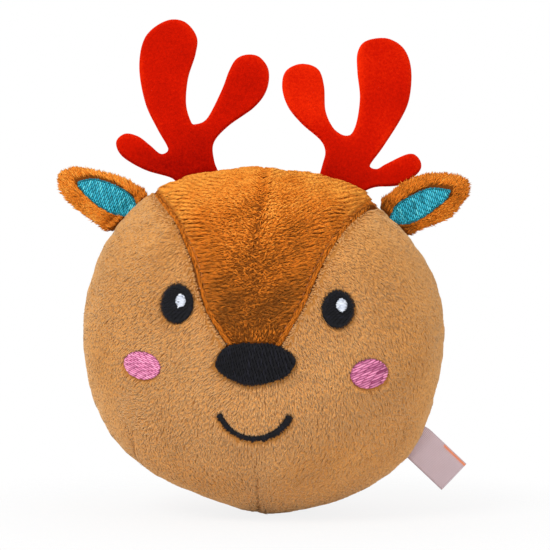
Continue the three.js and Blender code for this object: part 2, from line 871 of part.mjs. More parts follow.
const fill = fillSpace(clearance);
const stuffing = fill.subtract(squeakerRoom).subtract(channel(channelRadius, 0));
const plug = fill.intersect(channel(channelRadius - clearance, plugFoot)).subtract(squeakerRoom);
addMesh(ball, "stuffing", stuffing, fabricMaterial(colours.fibre));
addMesh(ball, "stuffing_plug", plug, fabricMaterial(colours.fibre));

// Antlers
for (const [side, pairs] of [["left", leftAntlerOutline], ["right", rightAntlerOutline]]) {
  const seat = antlerSeats[side];
  const felt = fabricMaterial(colours.redFelt);
  addMesh(seat.swinging, side + "_antler", antlerSolid(pairs, seat), felt);
  addMesh(seat.group, side + "_antler_tab", tabSolid(seat, tabThickness), felt);
  ball.add(seat.group);
}

// Ears: the two leaves, and the patch sunk into the front one
const earFront = -earThickness / 2;
const abovePatchFoot = blockBetween(-beyond, beyond, -beyond, beyond, patchAboveHinge, beyond);
const hollowFoot = patchAboveHinge - clearance;
const aboveHollowFoot = blockBetween(-beyond, beyond, -beyond, beyond, hollowFoot, beyond);
const earSides = [
  ["left", leftEarOutline, leftPatchOutline],
  ["right", rightEarOutline, rightPatchOutline],
];
for (const [side, pairs, patchPairs] of earSides) {
  const seat = earSeats[side];
  const whole = earSolid(pairs, seat);
  const outline = closedSpline(fromHinge(patchPairs, seat));
  const patch = prism(outline, earFront - embroideryProud, earFront + embroiderySunk);
  const hollow = prism(grown(outline, clearance), -beyond, earFront + embroiderySunk + clearance);
  const frontHalf = blockBetween(-beyond, beyond, -beyond, -clearance / 2, -beyond, beyond);
  const backHalf = blockBetween(-beyond, beyond, clearance / 2, beyond, -beyond, beyond);
  const frontLeaf = whole.intersect(frontHalf).subtract(hollow.intersect(aboveHollowFoot));
  const pile = fabricMaterial(colours.earPile);
  addMesh(seat.swinging, side + "_ear_front", frontLeaf, pile);
  addMesh(seat.swinging, side + "_ear_back", whole.intersect(backHalf), pile);
  const shown = patch.intersect(abovePatchFoot);
  addMesh(seat.swinging, side + "_ear_embroidery", shown, threadMaterial(colours.tealThread));
  addMesh(seat.group, side + "_ear_tab", tabSolid(seat, tabThickness), pile);
  ball.add(seat.group);
}

// Ribbon loop: one ribbon folded back on itself, leaning along the seam
function ribbonLoop() {
  const outerRadius = loopThickness / 2;
  const innerRadius = loopInside / 2;
  const foldCentre = loopLength - ribbonSeat.hingeHeight - outerRadius;
  const foot = -ribbonWidth;
  const shape = new THREE.Shape();
  shape.moveTo(-outerRadius, foot);
  shape.lineTo(-innerRadius, foot);
  shape.lineTo(-innerRadius, foldCentre);
  shape.absarc(0, foldCentre, innerRadius, Math.PI, 0, true);
  shape.lineTo(innerRadius, foot);
  shape.lineTo(outerRadius, foot);
  shape.lineTo(outerRadius, foldCentre);
  shape.absarc(0, foldCentre, outerRadius, 0, Math.PI, false);
  const options = { depth: ribbonWidth, bevelEnabled: false, curveSegments: foldSteps };
  const geometry = new THREE.ExtrudeGeometry(shape, options);
  geometry.translate(0, 0, -ribbonWidth / 2).rotateX(Math.PI / 2).rotateZ(Math.PI / 2);
  geometry.rotateY(THREE.MathUtils.degToRad(loopLean));
  return solidOf(geometry);
}

const loop = ribbonLoop().intersect(aboveHinge(loopThickness));
const ribbonTab = tabSolid(ribbonSeat, ribbonTabThickness);
addMesh(ribbonSeat.swinging, "ribbon_loop", loop, threadMaterial(colours.satin));
addMesh(ribbonSeat.group, "ribbon_tab", ribbonTab, threadMaterial(colours.satin));
ball.add(ribbonSeat.group);

export default model;
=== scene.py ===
import math

import bpy
import numpy as np
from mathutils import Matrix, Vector


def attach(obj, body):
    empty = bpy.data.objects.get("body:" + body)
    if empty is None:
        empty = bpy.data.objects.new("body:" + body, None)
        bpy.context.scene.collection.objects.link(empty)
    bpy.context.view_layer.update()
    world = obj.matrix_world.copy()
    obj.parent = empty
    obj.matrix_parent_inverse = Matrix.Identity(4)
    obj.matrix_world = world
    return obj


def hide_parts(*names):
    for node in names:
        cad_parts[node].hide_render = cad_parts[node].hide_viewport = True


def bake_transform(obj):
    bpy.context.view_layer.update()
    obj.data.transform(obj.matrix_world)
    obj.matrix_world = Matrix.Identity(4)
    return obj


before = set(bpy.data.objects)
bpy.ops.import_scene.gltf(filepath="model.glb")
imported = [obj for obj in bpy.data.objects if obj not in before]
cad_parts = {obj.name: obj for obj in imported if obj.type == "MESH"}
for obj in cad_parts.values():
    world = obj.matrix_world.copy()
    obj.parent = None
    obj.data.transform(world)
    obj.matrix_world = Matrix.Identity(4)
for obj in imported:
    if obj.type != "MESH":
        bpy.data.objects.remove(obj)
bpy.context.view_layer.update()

# Shapes are worked out in millimetres from the ball's centre, with +X to the viewer's right, +Z up
# and the face towards -Y. Left and right in the names are the viewer's.

# The ball, as the construction has it
HALF_WIDTH = 74.7
HALF_DEPTH = 66
HEIGHT_ABOVE = 70.6
HEIGHT_BELOW = 72.9
PRESSED_FLAT = 0.5
CENTRE_HEIGHT = HEIGHT_BELOW - PRESSED_FLAT

# Where the ball is fuller or flatter than that: degrees from +X towards +Z, spread and height
FULLNESS = [
    (318, 14, 3.7), (248, 9.5, -3.1), (203, 9, 1), (139, 16, 3.3), (57, 9, 1.3), (18, 10, 1.2),
]

# The panels and the seams between them
RIM_SEAM_Y = 4
FABRIC_THICKNESS = 2.4
CLEARANCE = 0.3
FOREHEAD_LEFT_EDGE = [
    (-60, 76), (-45.5, 60), (-35.2, 47.8), (-30.7, 38.5), (-27.3, 30.4), (-22.5, 14.1),
    (-14.4, 0.2), (-6.5, -9.5),
]
FOREHEAD_RIGHT_EDGE = [
    (66, 60), (50.5, 55.3), (42, 52.8), (32, 42.9), (24.3, 31.3), (16.9, 15), (8.2, 0.2), (1, -9.5),
]
TOPSTITCH_INSET = 2.5
TOPSTITCH_LENGTH = 3.6
TOPSTITCH_GAP = 0.8
RIDGE_PERIOD = 1.6
RIM_GATHERS = 46

# Embroidery on the face: x, z, half width, half height, tilt in degrees
ELLIPSES = {
    "left_eye": (-32.9, 15.1, 6.1, 7.3, -7),
    "right_eye": (29.3, 13, 6, 7, -3),
    "left_cheek": (-46.8, -9.1, 7.3, 5.2, -10),
    "right_cheek": (41.6, -12.2, 7.2, 5.5, 6),
}
HIGHLIGHTS = {
    "left": (-31.2, 16.2, 1.9, 2.4, 0),
    "right": (30.5, 14.5, 2.1, 2.4, 0),
}
HIGHLIGHT_TAILS = {
    "left": ((-32.3, 13.3), (-31.5, 14.5)),
    "right": ((30.6, 11.7), (30.9, 13.2)),
}
NOSE_OUTLINE = [
    (-17.7, -7.6), (-15.6, -3.2), (-11.5, -0.6), (-2.4, 0.1), (5, -0.8), (10.7, -3.9), (12.8, -7.2),
    (8, -13.1), (-4.3, -16), (-12.1, -13.6), (-16.9, -10.1),
]
MOUTH_CENTRE = (-2.7, -22.4)
MOUTH_RADIUS = 14.7
MOUTH_FROM = 199
MOUTH_TO = 336
MOUTH_STROKE = 2.2

# What is sewn into the rim seam
TAB_DEPTH = 4
TAB_PROUD = 0.3
BEND_BELOW = 2
BEND_ABOVE = 3.5
ANTLER_HEIGHTS = {"left": 0.99, "right": 0.972}
FELT_THICKNESS = 3
EAR_THICKNESS = 2 * FABRIC_THICKNESS + CLEARANCE
RIBBON_WIDTH = 15
RIBBON_THICKNESS = 0.5
RIBBON_CELLS = 18
RIB_PERIOD = 0.45
STRIPE_EDGES = (-7.2, -6.2)
STRIPE_FROM = 7.5
LOOP_LENGTH = 21
LOOP_ASIDE = 1
LOOP_INSIDE = 0.8
LOOP_LEAN = 14
LOOP_THICKNESS = 2 * RIBBON_THICKNESS + LOOP_INSIDE

# Where its base starts and ends, in degrees from +X towards +Z, its thickness and how many
# degrees it leans forward
SEWN_IN = {
    "left_antler": ((119.2, 105.1), FELT_THICKNESS, -4),
    "right_antler": ((70.9, 55.3), FELT_THICKNESS, -13),
    "left_ear": ((146.6, 127.2), EAR_THICKNESS, 15),
    "right_ear": ((49.7, 33), EAR_THICKNESS, 22),
    "ribbon_loop": ((-27.6, -39.6), LOOP_THICKNESS, 0),
}

# Outlines as the distance along the base from its middle and the distance out from the ball
LEFT_ANTLER_OUTLINE = [
    (8.5, 5.3), (10.4, 12.3), (18.1, 17.3), (30.7, 21.8), (37.7, 27.3), (40.8, 35), (38.8, 41.4),
    (34.2, 43.9), (29.2, 43.4), (24.9, 39.4), (20.3, 33.2), (13.1, 25.2), (9.2, 22.2), (5.2, 22),
    (3.8, 23.4), (3.9, 31.1), (7.7, 41.2), (13.5, 50.1), (16, 57.1), (12.8, 64.7), (5.3, 67.2),
    (-4.6, 63.1), (-10.5, 51.8), (-12.3, 36.7), (-10.6, 24.9), (-8.7, 16.9), (-9, 14.4),
    (-12.2, 14.2), (-15.3, 18.8), (-19.1, 23.9), (-24.1, 26.5), (-28.6, 24.1), (-27.8, 17.7),
    (-20.4, 9.6), (-11, 3.4),
]
RIGHT_ANTLER_OUTLINE = [
    (14, 3.9), (22.9, 8.6), (28.2, 16.8), (26.7, 21.5), (21.6, 22.4), (14.3, 14.8), (11.6, 11.3),
    (8.6, 10.9), (8.4, 13), (10.4, 20.9), (13, 35.8), (12.8, 45.4), (9, 56.7), (3, 63.5),
    (-5.1, 64.8), (-12.8, 60.3), (-14.2, 54.3), (-11.2, 46.5), (-6.5, 37.4), (-4, 28.3),
    (-3.6, 22.5), (-4.8, 19.9), (-8.1, 19.3), (-12.5, 21), (-17.6, 26.3), (-21.9, 35.6),
    (-26.9, 41.3), (-34.2, 40.6), (-39, 35.2), (-37.8, 28.1), (-32.5, 21.5), (-24.5, 17),
    (-15, 13.6), (-11.2, 9.8), (-10.3, 4.6),
]
LEFT_EAR_OUTLINE = [
    (11.9, 5.6), (9.3, 13.4), (2.4, 24.4), (-2.4, 30.4), (-8.7, 33.1), (-13.2, 31.3), (-16.5, 25.7),
    (-16.9, 17.1), (-15.3, 7.2),
]
RIGHT_EAR_OUTLINE = [
    (11.8, 5.7), (14, 11.2), (16, 18.1), (14.3, 29.6), (11.3, 34.3), (7.3, 35.7), (0.5, 32.5),
    (-7.6, 23.3), (-11.4, 12.7), (-12, 4.9),
]
LEFT_PATCH_OUTLINE = [
    (4.3, 1.1), (5.4, 5.3), (3.6, 12.7), (-0.3, 20.1), (-3.9, 23.3), (-7.3, 24.4), (-8.1, 19.6),
    (-7.7, 14), (-6.6, 8.6), (-4.6, 3.8), (-1.6, 0.1), (2.7, 0),
]
RIGHT_PATCH_OUTLINE = [
    (3.1, 1.9), (5.2, 6.3), (6.6, 11.3), (7.3, 16.6), (7.7, 22.2), (6.8, 25.5), (5.6, 26.3),
    (0.2, 21.4), (-1.8, 17.6), (-3.6, 11.3), (-4.5, 5.8), (-2.7, 0), (-0.8, -0.4),
]

# Creases in the cloth, as x and z of points along each
TOP_CREASE = [(1.2, 72), (-0.2, 58), (-1.5, 45), (-3.1, 35.6), (-2.8, 25), (-3.3, 20)]
BOTTOM_DART = [(-3.5, -47), (-2.4, -52.4), (-2.1, -57), (-2.4, -60.1), (-1.7, -63.5), (-2.1, -74)]
LEFT_DART = [(-51.8, -34), (-52.5, -45), (-51.6, -49.5), (-50.2, -54)]
RIGHT_DART = [(57, -26), (57, -34), (56, -44)]

# Each crease: its path, how much shade is painted along its line, and the width and depth of the
# line and of the fold
CREASES = [
    (TOP_CREASE, 0.2, (1.2, 0.35), (6, 0.5)),
    (BOTTOM_DART, 0.45, (0.7, 0.3), (4, 0.3)),
    (LEFT_DART, 0.5, (0.8, 0.4), (4, 0.3)),
    (RIGHT_DART, 0.3, (0.8, 0.2), (4, 0.2)),
]

# Where the cloth hangs slack between seams: degrees from +X towards +Z, spread and height
SLACK = [
    (189, 9, -1.2), (232, 6, -0.4), (212, 8, -0.5), (247, 11, -3.6), (284, 6, -1.7), (308, 7, -0.9),
    (339, 8, -1.1), (335, 6, 0.5), (60, 7, 0.9), (83, 4, -0.9), (91, 3, 0.9), (112, 5, 0.8),
    (126, 7, 1.6),
]

# How the ball's cloth is blown up between its seams
SKIN_CELLS = 40
SKIN_FRAMES = 20
SKIN_PRESSURE = 4
SPARE_CLOTH = 0.03
MOST_SWELL = 2.4
SWELL_SHARE = 0.6
USUAL_SWELL = 1.6

# How fine the stuffing's surface is, in metres
FIBRE_CELL = 0.0028

# Pile: how deep it stands on the cloth, and its tufts
PILE_DEPTH = 0.9
GRID_CELLS = 118
FACE_TUFTS_PER_MM2 = 2.4
FOREHEAD_TUFTS_PER_MM2 = 2.4
BACK_TUFTS_PER_MM2 = 1.5
EAR_TUFTS_PER_MM2 = 5.5
MOST_TUFTS = 19000
TUFT_SIDES = 3
EVENNESS = 0.35

# A tuft's two rings of points: how far along, how high, how wide and how far swayed each is
TUFT_RINGS = [(0.0, -0.35, 0.8, 0.0), (0.5, 0.85, 1.0, 0.35)]

# Where a tuft's rings and tip lie in its cell of the bake's map, and the cell's bare margin
CELL_FOOT, CELL_WAIST, CELL_TIP = 0.15, 0.55, 1.0
CELL_MARGIN = 0.08

# Random swells and streaks
ROLLING_WAVES = 7
STREAK_WAVES = 80
STREAK_SHIFTS = 5
STEEPEST_STREAK = 1.5

# A stitch's rings of points and the corners of each
THREAD_STATIONS = 6
THREAD_SIDES = 5

# How closely points of the ball's surface are worked out
HALVINGS = 30
RIM_ROUNDS = 8
SLOPE_STEP = 0.5

# The way from the face to the back
BEHIND = np.array([0, 1, 0])

# Colours as they look in plain light, from 0 to 255: dark, plain and bright. The tones that pick
# between them carry random variation and also painted shade and light
TAN = ((167, 109, 51), (215, 151, 81), (234, 176, 107))
BROWN = ((112, 58, 16), (222, 124, 34), (254, 174, 72))
EAR_BROWN = ((134, 68, 12), (232, 130, 34), (255, 184, 80))
RED = ((138, 6, 0), (189, 18, 0), (234, 42, 4))
TEAL = ((4, 104, 118), (50, 190, 216), (120, 238, 246))
PINK = ((150, 58, 104), (238, 146, 188), (252, 186, 216))
NIGHT = ((6, 6, 12), (14, 14, 19), (30, 30, 42))
WHITE = ((176, 184, 202), (222, 227, 238), (240, 243, 248))
BROWN_THREAD = ((120, 62, 20), (172, 96, 36), (200, 122, 56))
SATIN = ((168, 147, 150), (196, 172, 178), (212, 190, 197))
FIBRE = ((214, 214, 208), (244, 244, 240))
PLASTIC = ((214, 214, 208), (232, 232, 226))
# the cloth's colour where shade is painted into the seams and creases
SEAM_SHADE = (118, 62, 18)
STRIPE = (236, 120, 36)

# The camera and the light
AIM_X = 4.97
AIM_Z = 98.5
CAMERA_DISTANCE = 800
FRAME_WIDTH = 227.9
SENSOR_WIDTH = 36
WORLD_STRENGTH = 0.7
LAMPS_AIM = (0, 0, 0.09)

# Each lamp's place, size across and watts
LAMPS = {
    "key_lamp": ((-0.55, -0.75, 0.8), 0.5, 6.5),
    "fill_lamp": ((0.8, -0.7, 0.35), 0.7, 2),
    "low_lamp": ((-0.1, -0.9, 0.03), 0.5, 1.6),
}

# The floor, in metres: how far it reaches and lies below the ball, and where it fades out
FLOOR_REACH = 1.5
FLOOR_DROP = 0.0002
FLOOR_FADES = (0.08, 0.2)
FLOOR_SHADE = (0.9, 0.9, 0.9, 1)
FLOOR_GLOW = 0.85


# Small helps with numbers

def smooth_step(start, end, values):
    share = np.clip((values - start) / (end - start), 0, 1)
    return share * share * (3 - 2 * share)


def unit(vectors):
    return vectors / np.maximum(np.linalg.norm(vectors, axis=-1, keepdims=True), 1e-9)


def bell(distance, width):
    return np.exp(-((distance / width) ** 2))


def stacked(*columns):
    """Arrays side by side, as the columns of one"""
    return np.stack(columns, axis=1)


def streaks(points, leans, width, reach, seed):
    """Ridges that run with the pile as the front shows them, about one on crests, -1 between"""
    random = np.random.default_rng(seed)
    turns = math.pi * (np.arange(STREAK_WAVES) + random.random(STREAK_WAVES)) / STREAK_WAVES
    lengths = width * random.uniform(0.8, 1.3, STREAK_WAVES)
    waves = np.stack([np.cos(turns), np.sin(turns)]) * 2 * math.pi / lengths
    phases = random.uniform(0, 2 * math.pi, STREAK_WAVES)
    pairs, ways = points[:, [0, 2]], unit(leans[:, [0, 2]])
    total = sum(
        np.sin((pairs + shift * ways) @ waves + phases).sum(axis=1)
        for shift in np.linspace(-reach, reach, STREAK_SHIFTS)
    )
    return np.clip(total / total.std(), -STEEPEST_STREAK, STEEPEST_STREAK)


def rolling(points, size, seed):
    """Smooth random swells of about one size, about one high"""
    random = np.random.default_rng(seed)
    total = np.zeros(len(points))
    for _ in range(ROLLING_WAVES):
        direction = unit(random.normal(size=points.shape[1]))
        length = size * random.uniform(1.3, 2.8)
        phase = random.uniform(0, 2 * math.pi)
        total += np.sin(2 * math.pi / length * (points @ direction) + phase)
    return total / math.sqrt(ROLLING_WAVES / 2)


def spline_through(pairs, steps, closed=False):
    """Points of a smooth curve through pairs, the ends of an open one included"""
    knots = np.array(pairs, float)
    count = len(knots)
    around = np.arange(count if closed else count - 1)[:, None] + np.arange(-1, 3)
    around = around % count if closed else np.clip(around, 0, count - 1)
    shares = np.arange(steps)[:, None] / steps
    curve = []
    for before, start, end, after in knots[around]:
        slope_in = (end - before) / 2
        slope_out = (after - start) / 2
        cubic = 2 * (start - end) + slope_in + slope_out
        square = 3 * (end - start) - 2 * slope_in - slope_out
        curve.append(((cubic * shares + square) * shares + slope_in) * shares + start)
    if not closed:
        curve.append(knots[-1:])
    return np.concatenate(curve)


def nearest_on(points, path):
    """How far points lie from a path, and the way from each to the path"""
    gap = np.full(len(points), np.inf)
    way = np.zeros_like(points)
    for start, end in zip(path[:-1], path[1:]):
        run = end - start
        share = np.clip(((points - start) @ run) / max(run @ run, 1e-12), 0, 1)
        to_path = start + share[:, None] * run - points
        distance = np.linalg.norm(to_path, axis=1)
        closer = distance < gap
        gap[closer] = distance[closer]
        way[closer] = to_path[closer]
    return gap, way / np.maximum(gap, 1e-9)[:, None]


def inside_outline(points, outline):
    inside = np.zeros(len(points), bool)
    for (x, z), (next_x, next_z) in zip(outline, np.roll(outline, -1, axis=0)):
        if z == next_z:
            continue
        crosses = (z > points[:, 1]) != (next_z > points[:, 1])
        at = x + (points[:, 1] - z) / (next_z - z) * (next_x - x)
        inside ^= crosses & (points[:, 0] < at)
    return inside


def edge_distance(points, outline):
    """How far inside an outline points lie, below zero outside, and the way to its edge"""
    gap, way = nearest_on(points, np.vstack([outline, outline[:1]]))
    return np.where(inside_outline(points, outline), gap, -gap), way


# The ball's surface

def toward_rim(degrees):
    """The direction from the ball's centre at so many degrees from +X towards +Z"""
    angle = math.radians(degrees)
    return np.array([math.cos(angle), 0, math.sin(angle)])


def rim_degrees(points):
    return np.degrees(np.arctan2(points[:, 2], points[:, 0]))


def add_mounds(heights, directions, mounds):
    """Adds rounded mounds and hollows: the degrees round the rim, spread and height of each"""
    for degrees, spread, height in mounds:
        away = np.degrees(np.arccos(np.clip(directions @ toward_rim(degrees), -1, 1)))
        heights += height * np.exp(-0.5 * (away / spread) ** 2)
    return heights


def ball_radius(directions):
    half_height = np.where(directions[:, 2] > 0, HEIGHT_ABOVE, HEIGHT_BELOW)
    across = directions[:, 0] / HALF_WIDTH
    along = directions[:, 1] / HALF_DEPTH
    up = directions[:, 2] / half_height
    radius = 1 / np.sqrt(across**2 + along**2 + up**2)
    return add_mounds(radius, directions, FULLNESS)


def on_ball(directions, raised=0):
    return directions * (ball_radius(directions) + raised)[:, None]


def outside_ball(points):
    return np.linalg.norm(points, axis=1) - ball_radius(unit(points))


def ball_normals(points):
    moves = SLOPE_STEP * np.eye(3)
    slopes = [outside_ball(points + move) - outside_ball(points - move) for move in moves]
    return unit(stacked(*slopes))


def on_face(pairs):
    """Points of the face straight ahead of x and z, and the directions that face out there"""
    outside = np.full(len(pairs), -2.0 * HALF_DEPTH)
    inside = np.zeros(len(pairs))
    for _ in range(HALVINGS):
        middle = (outside + inside) / 2
        points = stacked(pairs[:, 0], middle, pairs[:, 1])
        within = outside_ball(points) < 0
        inside = np.where(within, middle, inside)
        outside = np.where(within, outside, middle)
    points = stacked(pairs[:, 0], inside, pairs[:, 1])
    return points, ball_normals(points)


def rim_point(degrees):
    """Where the rim seam is at so many degrees from +X towards +Z"""
    way = toward_rim(degrees)
    reach = HALF_WIDTH
    for _ in range(RIM_ROUNDS):
        radius = ball_radius(unit(reach * way + RIM_SEAM_Y * BEHIND)[None])[0]
        reach = math.sqrt(radius**2 - RIM_SEAM_Y**2)
    return reach * way + RIM_SEAM_Y * BEHIND


class Seat:
    """A place in the rim seam that something is sewn into"""

    def __init__(self, ends, thickness, leans_forward):
        first, last = rim_point(ends[0]), rim_point(ends[1])
        self.ends = ends
        self.thickness = thickness
        self.origin = rim_point(sum(ends) / 2)
        self.width = np.linalg.norm(last - first)
        self.along = (last - first) / self.width
        self.outward = np.array([-self.along[2], 0, self.along[0]])
        self.lean = math.radians(leans_forward)
        self.hinge = thickness / 2 + CLEARANCE + TAB_PROUD

    def place(self, along, depth, out):
        """From along the seam, behind it and out from the hinge line to the ball's own axes"""
        turn = self.lean * smooth_step(-1.5, 1.5, out)
        behind = depth * np.cos(turn) - out * np.sin(turn)
        height = depth * np.sin(turn) + out * np.cos(turn)
        points = self.origin + along[:, None] * self.along
        points = points + (height + self.hinge)[:, None] * self.outward
        return points + behind[:, None] * BEHIND

    def direction(self, along, depth, out):
        """The same for directions, well above the hinge line"""
        behind = depth * math.cos(self.lean) - out * math.sin(self.lean)
        height = depth * math.sin(self.lean) + out * math.cos(self.lean)
        parts = along[:, None] * self.along + height[:, None] * self.outward
        return parts + behind[:, None] * BEHIND

    def from_hinge(self, pairs):
        return [(along, out - self.hinge) for along, out in pairs]

    def as_seen(self, pairs):
        """An outline read off the front view, on the plane in which the piece leans"""
        pairs = np.array(pairs, float)
        eye = np.array([AIM_X, -CAMERA_DISTANCE, AIM_Z - CENTRE_HEIGHT])
        upright = self.origin + pairs[:, :1] * self.along + pairs[:, 1:] * self.outward
        hinge = self.origin + self.hinge * self.outward
        leaning = math.cos(self.lean) * self.outward - math.sin(self.lean) * BEHIND
        across = np.cross(self.along, leaning)
        share = ((hinge - eye) @ across) / ((upright - eye) @ across)
        seen = eye + share[:, None] * (upright - eye) - hinge
        return list(zip(seen @ self.along, seen @ leaning))


SEATS = {name: Seat(*sewn) for name, sewn in SEWN_IN.items()}


# Outlines on the face

def ellipse_outline(x, z, half_width, half_height, tilt):
    turn = np.linspace(0, 2 * math.pi, 40, endpoint=False)
    along, up = half_width * np.cos(turn), half_height * np.sin(turn)
    tilted = math.radians(tilt)
    across = along * math.cos(tilted) - up * math.sin(tilted)
    height = along * math.sin(tilted) + up * math.cos(tilted)
    return stacked(x + across, z + height)


def mouth_arc(count, out):
    """Points along the smile, some way out from the middle of its stroke"""
    turn = np.radians(np.linspace(MOUTH_FROM, MOUTH_TO, count))
    return MOUTH_CENTRE + stacked(np.cos(turn), np.sin(turn)) * (MOUTH_RADIUS + out)


OUTLINES = {name: ellipse_outline(*sizes) for name, sizes in ELLIPSES.items()}
OUTLINES["nose"] = spline_through(NOSE_OUTLINE, 5, closed=True)
OUTLINES["mouth"] = np.vstack([
    mouth_arc(40, MOUTH_STROKE / 2),
    mouth_arc(40, -MOUTH_STROKE / 2)[::-1],
])
ABOVE = 3 * HALF_WIDTH
FOREHEAD_OUTLINE = np.vstack([
    spline_through(FOREHEAD_LEFT_EDGE, 6),
    spline_through(FOREHEAD_RIGHT_EDGE, 6)[::-1],
    [(FOREHEAD_RIGHT_EDGE[0][0], ABOVE), (FOREHEAD_LEFT_EDGE[0][0], ABOVE)],
])


def embroidered(pairs):
    """How far inside the nearest embroidery points of the face lie, below zero outside"""
    deepest = np.full(len(pairs), -ABOVE)
    for outline in OUTLINES.values():
        low, high = outline.min(0) - 4, outline.max(0) + 4
        near = np.all((pairs > low) & (pairs < high), axis=1)
        distance, _ = edge_distance(pairs[near], outline)
        deepest[near] = np.maximum(deepest[near], distance)
    return deepest


# Meshes as points and triangles

def square_triangles(rows, columns):
    """Triangles of a grid of points, for rows and columns of cells"""
    corner = np.arange(rows)[:, None] * (columns + 1) + np.arange(columns)
    first = corner.ravel()
    second, third, fourth = first + columns + 1, first + columns + 2, first + 1
    return np.vstack([stacked(first, second, third), stacked(first, third, fourth)])


def ball_grid(cells):
    """Directions spread evenly all round, and the triangles between them"""
    steps = np.tan(np.linspace(-math.pi / 4, math.pi / 4, cells + 1))
    across, up = [values.ravel() for values in np.meshgrid(steps, steps, indexing="ij")]
    points, triangles = [], []
    for axis in range(3):
        for sign in (1, -1):
            side = np.zeros((len(across), 3))
            side[:, axis] = sign
            side[:, (axis + 1) % 3] = sign * across
            side[:, (axis + 2) % 3] = up
            triangles.append(square_triangles(cells, cells) + len(points) * len(across))
            points.append(side)
    points = unit(np.concatenate(points))
    _, first, index = np.unique(
        np.round(points, 6), axis=0, return_index=True, return_inverse=True
    )
    index = index.reshape(-1)
    return points[first], index[np.concatenate(triangles)], index


def kept_side(points, triangles, field):
    """The part of a mesh where a value at its points is above zero, cut cleanly where it is zero"""
    inside = field > 0
    count = inside[triangles].sum(axis=1)
    crossed = triangles[(count == 1) | (count == 2)]
    alone = inside[crossed] == (inside[crossed].sum(axis=1) == 1)[:, None]
    turn = (alone.argmax(axis=1)[:, None] + np.arange(3)) % 3
    crossed = np.take_along_axis(crossed, turn, axis=1)
    pairs = np.sort(np.vstack([crossed[:, [0, 1]], crossed[:, [0, 2]]]), axis=1)
    pairs, index = np.unique(pairs, axis=0, return_inverse=True)
    index = index.reshape(-1) + len(points)
    low, high = pairs.T
    share = field[low] / (field[low] - field[high])
    added = points[low] + share[:, None] * (points[high] - points[low])
    on_first, on_second = index[: len(crossed)], index[len(crossed):]
    tip = inside[crossed[:, 0]]
    tips = stacked(crossed[:, 0], on_first, on_second)[tip]
    wide = crossed[~tip]
    first, second = on_first[~tip], on_second[~tip]
    pieces = [
        triangles[count == 3],
        tips,
        stacked(first, wide[:, 1], wide[:, 2]),
        stacked(first, wide[:, 2], second),
    ]
    used, index = np.unique(np.concatenate(pieces), return_inverse=True)
    return np.vstack([points, added])[used], index.reshape(-1, 3)


def halved(points, triangles, near):
    """The mesh with each edge between two near points halved, and its triangles split to fit"""
    count = len(points)
    edges = np.stack([triangles, np.roll(triangles, -1, axis=1)], axis=2)
    keys = edges.min(axis=2) * count + edges.max(axis=2)
    found, index = np.unique(keys.ravel(), return_inverse=True)
    low, high = found // count, found % count
    split = near[low] & near[high]
    added = (points[low[split]] + points[high[split]]) / 2
    number = (count - 1 + np.cumsum(split))[index.reshape(keys.shape)]
    marks = split[index.reshape(keys.shape)]
    all_three = marks.all(axis=1)
    just_one = marks.any(axis=1) & ~all_three
    first, second, third = triangles[all_three].T
    on_first, on_second, on_third = number[all_three].T
    turn = (marks[just_one].argmax(axis=1)[:, None] + np.arange(3)) % 3
    start, end, across = np.take_along_axis(triangles[just_one], turn, axis=1).T
    middle = np.take_along_axis(number[just_one], turn[:, :1], axis=1)[:, 0]
    pieces = [
        triangles[~marks.any(axis=1)],
        stacked(first, on_first, on_third),
        stacked(on_first, second, on_second),
        stacked(on_third, on_second, third),
        stacked(on_first, on_second, on_third),
        stacked(start, middle, across),
        stacked(middle, end, across),
    ]
    return np.vstack([points, added]), np.concatenate(pieces)


def edges_of(triangles):
    return np.vstack([triangles[:, [0, 1]], triangles[:, [1, 2]], triangles[:, [2, 0]]])


def closed_shell(outer, inner, triangles):
    """Two sheets with the same triangles, joined round their open edges"""
    count = len(outer)
    edges = edges_of(triangles)
    forward = edges[:, 0] * count + edges[:, 1]
    backward = edges[:, 1] * count + edges[:, 0]
    start, end = edges[~np.isin(forward, backward)].T
    walls = np.vstack([
        stacked(end, start, start + count),
        stacked(end, start + count, end + count),
    ])
    return np.vstack([outer, inner]), np.vstack([triangles, triangles[:, ::-1] + count, walls])


def flat_grid(outline, spacing):
    """Triangles that fill an outline, how far inside it each point lies and the way to the edge"""
    low, high = outline.min(0) - spacing, outline.max(0) + spacing
    columns, rows = [int(math.ceil(size / spacing)) for size in high - low]
    along = low[0] + spacing * np.arange(columns + 1)
    out = low[1] + spacing * np.arange(rows + 1)
    points = stacked(*[values.ravel() for values in np.meshgrid(along, out, indexing="ij")])
    distance, _ = edge_distance(points, outline)
    points, triangles = kept_side(points, square_triangles(columns, rows), distance)
    distance, way = edge_distance(points, outline)
    return points, triangles, np.maximum(distance, 0), way


def point_normals(points, triangles):
    first, second, third = points[triangles].transpose(1, 0, 2)
    faces = np.cross(second - first, third - first)
    total = np.zeros_like(points)
    for corner in range(3):
        for axis in range(3):
            weights = faces[:, axis]
            total[:, axis] += np.bincount(triangles[:, corner], weights, minlength=len(points))
    return unit(total)


def turned_to(way, points, triangles):
    """The triangles, turned over where the middle point's normal is against a way"""
    middle = point_normals(points, triangles)[len(points) // 2]
    return triangles[:, ::-1] if middle @ way < 0 else triangles


def scatter(points, triangles, density, random):
    """Evenly strewn spots on a mesh, so many to a square millimetre, and the normals there"""
    normals = point_normals(points, triangles)
    corners = points[triangles]
    sides = np.cross(corners[:, 1] - corners[:, 0], corners[:, 2] - corners[:, 0])
    area = np.linalg.norm(sides, axis=1) / 2
    total = np.floor(np.cumsum(area * density) + random.random()).astype(int)
    wanted = np.diff(total, prepend=0)
    chosen = triangles[np.repeat(np.arange(len(triangles)), wanted)]
    root = np.sqrt(random.random(len(chosen)))
    share = random.random(len(chosen))
    weights = stacked(1 - root, root * (1 - share), root * share)[:, :, None]
    weights = EVENNESS / 3 + (1 - EVENNESS) * weights
    return (points[chosen] * weights).sum(axis=1), unit((normals[chosen] * weights).sum(axis=1))


# Blender objects

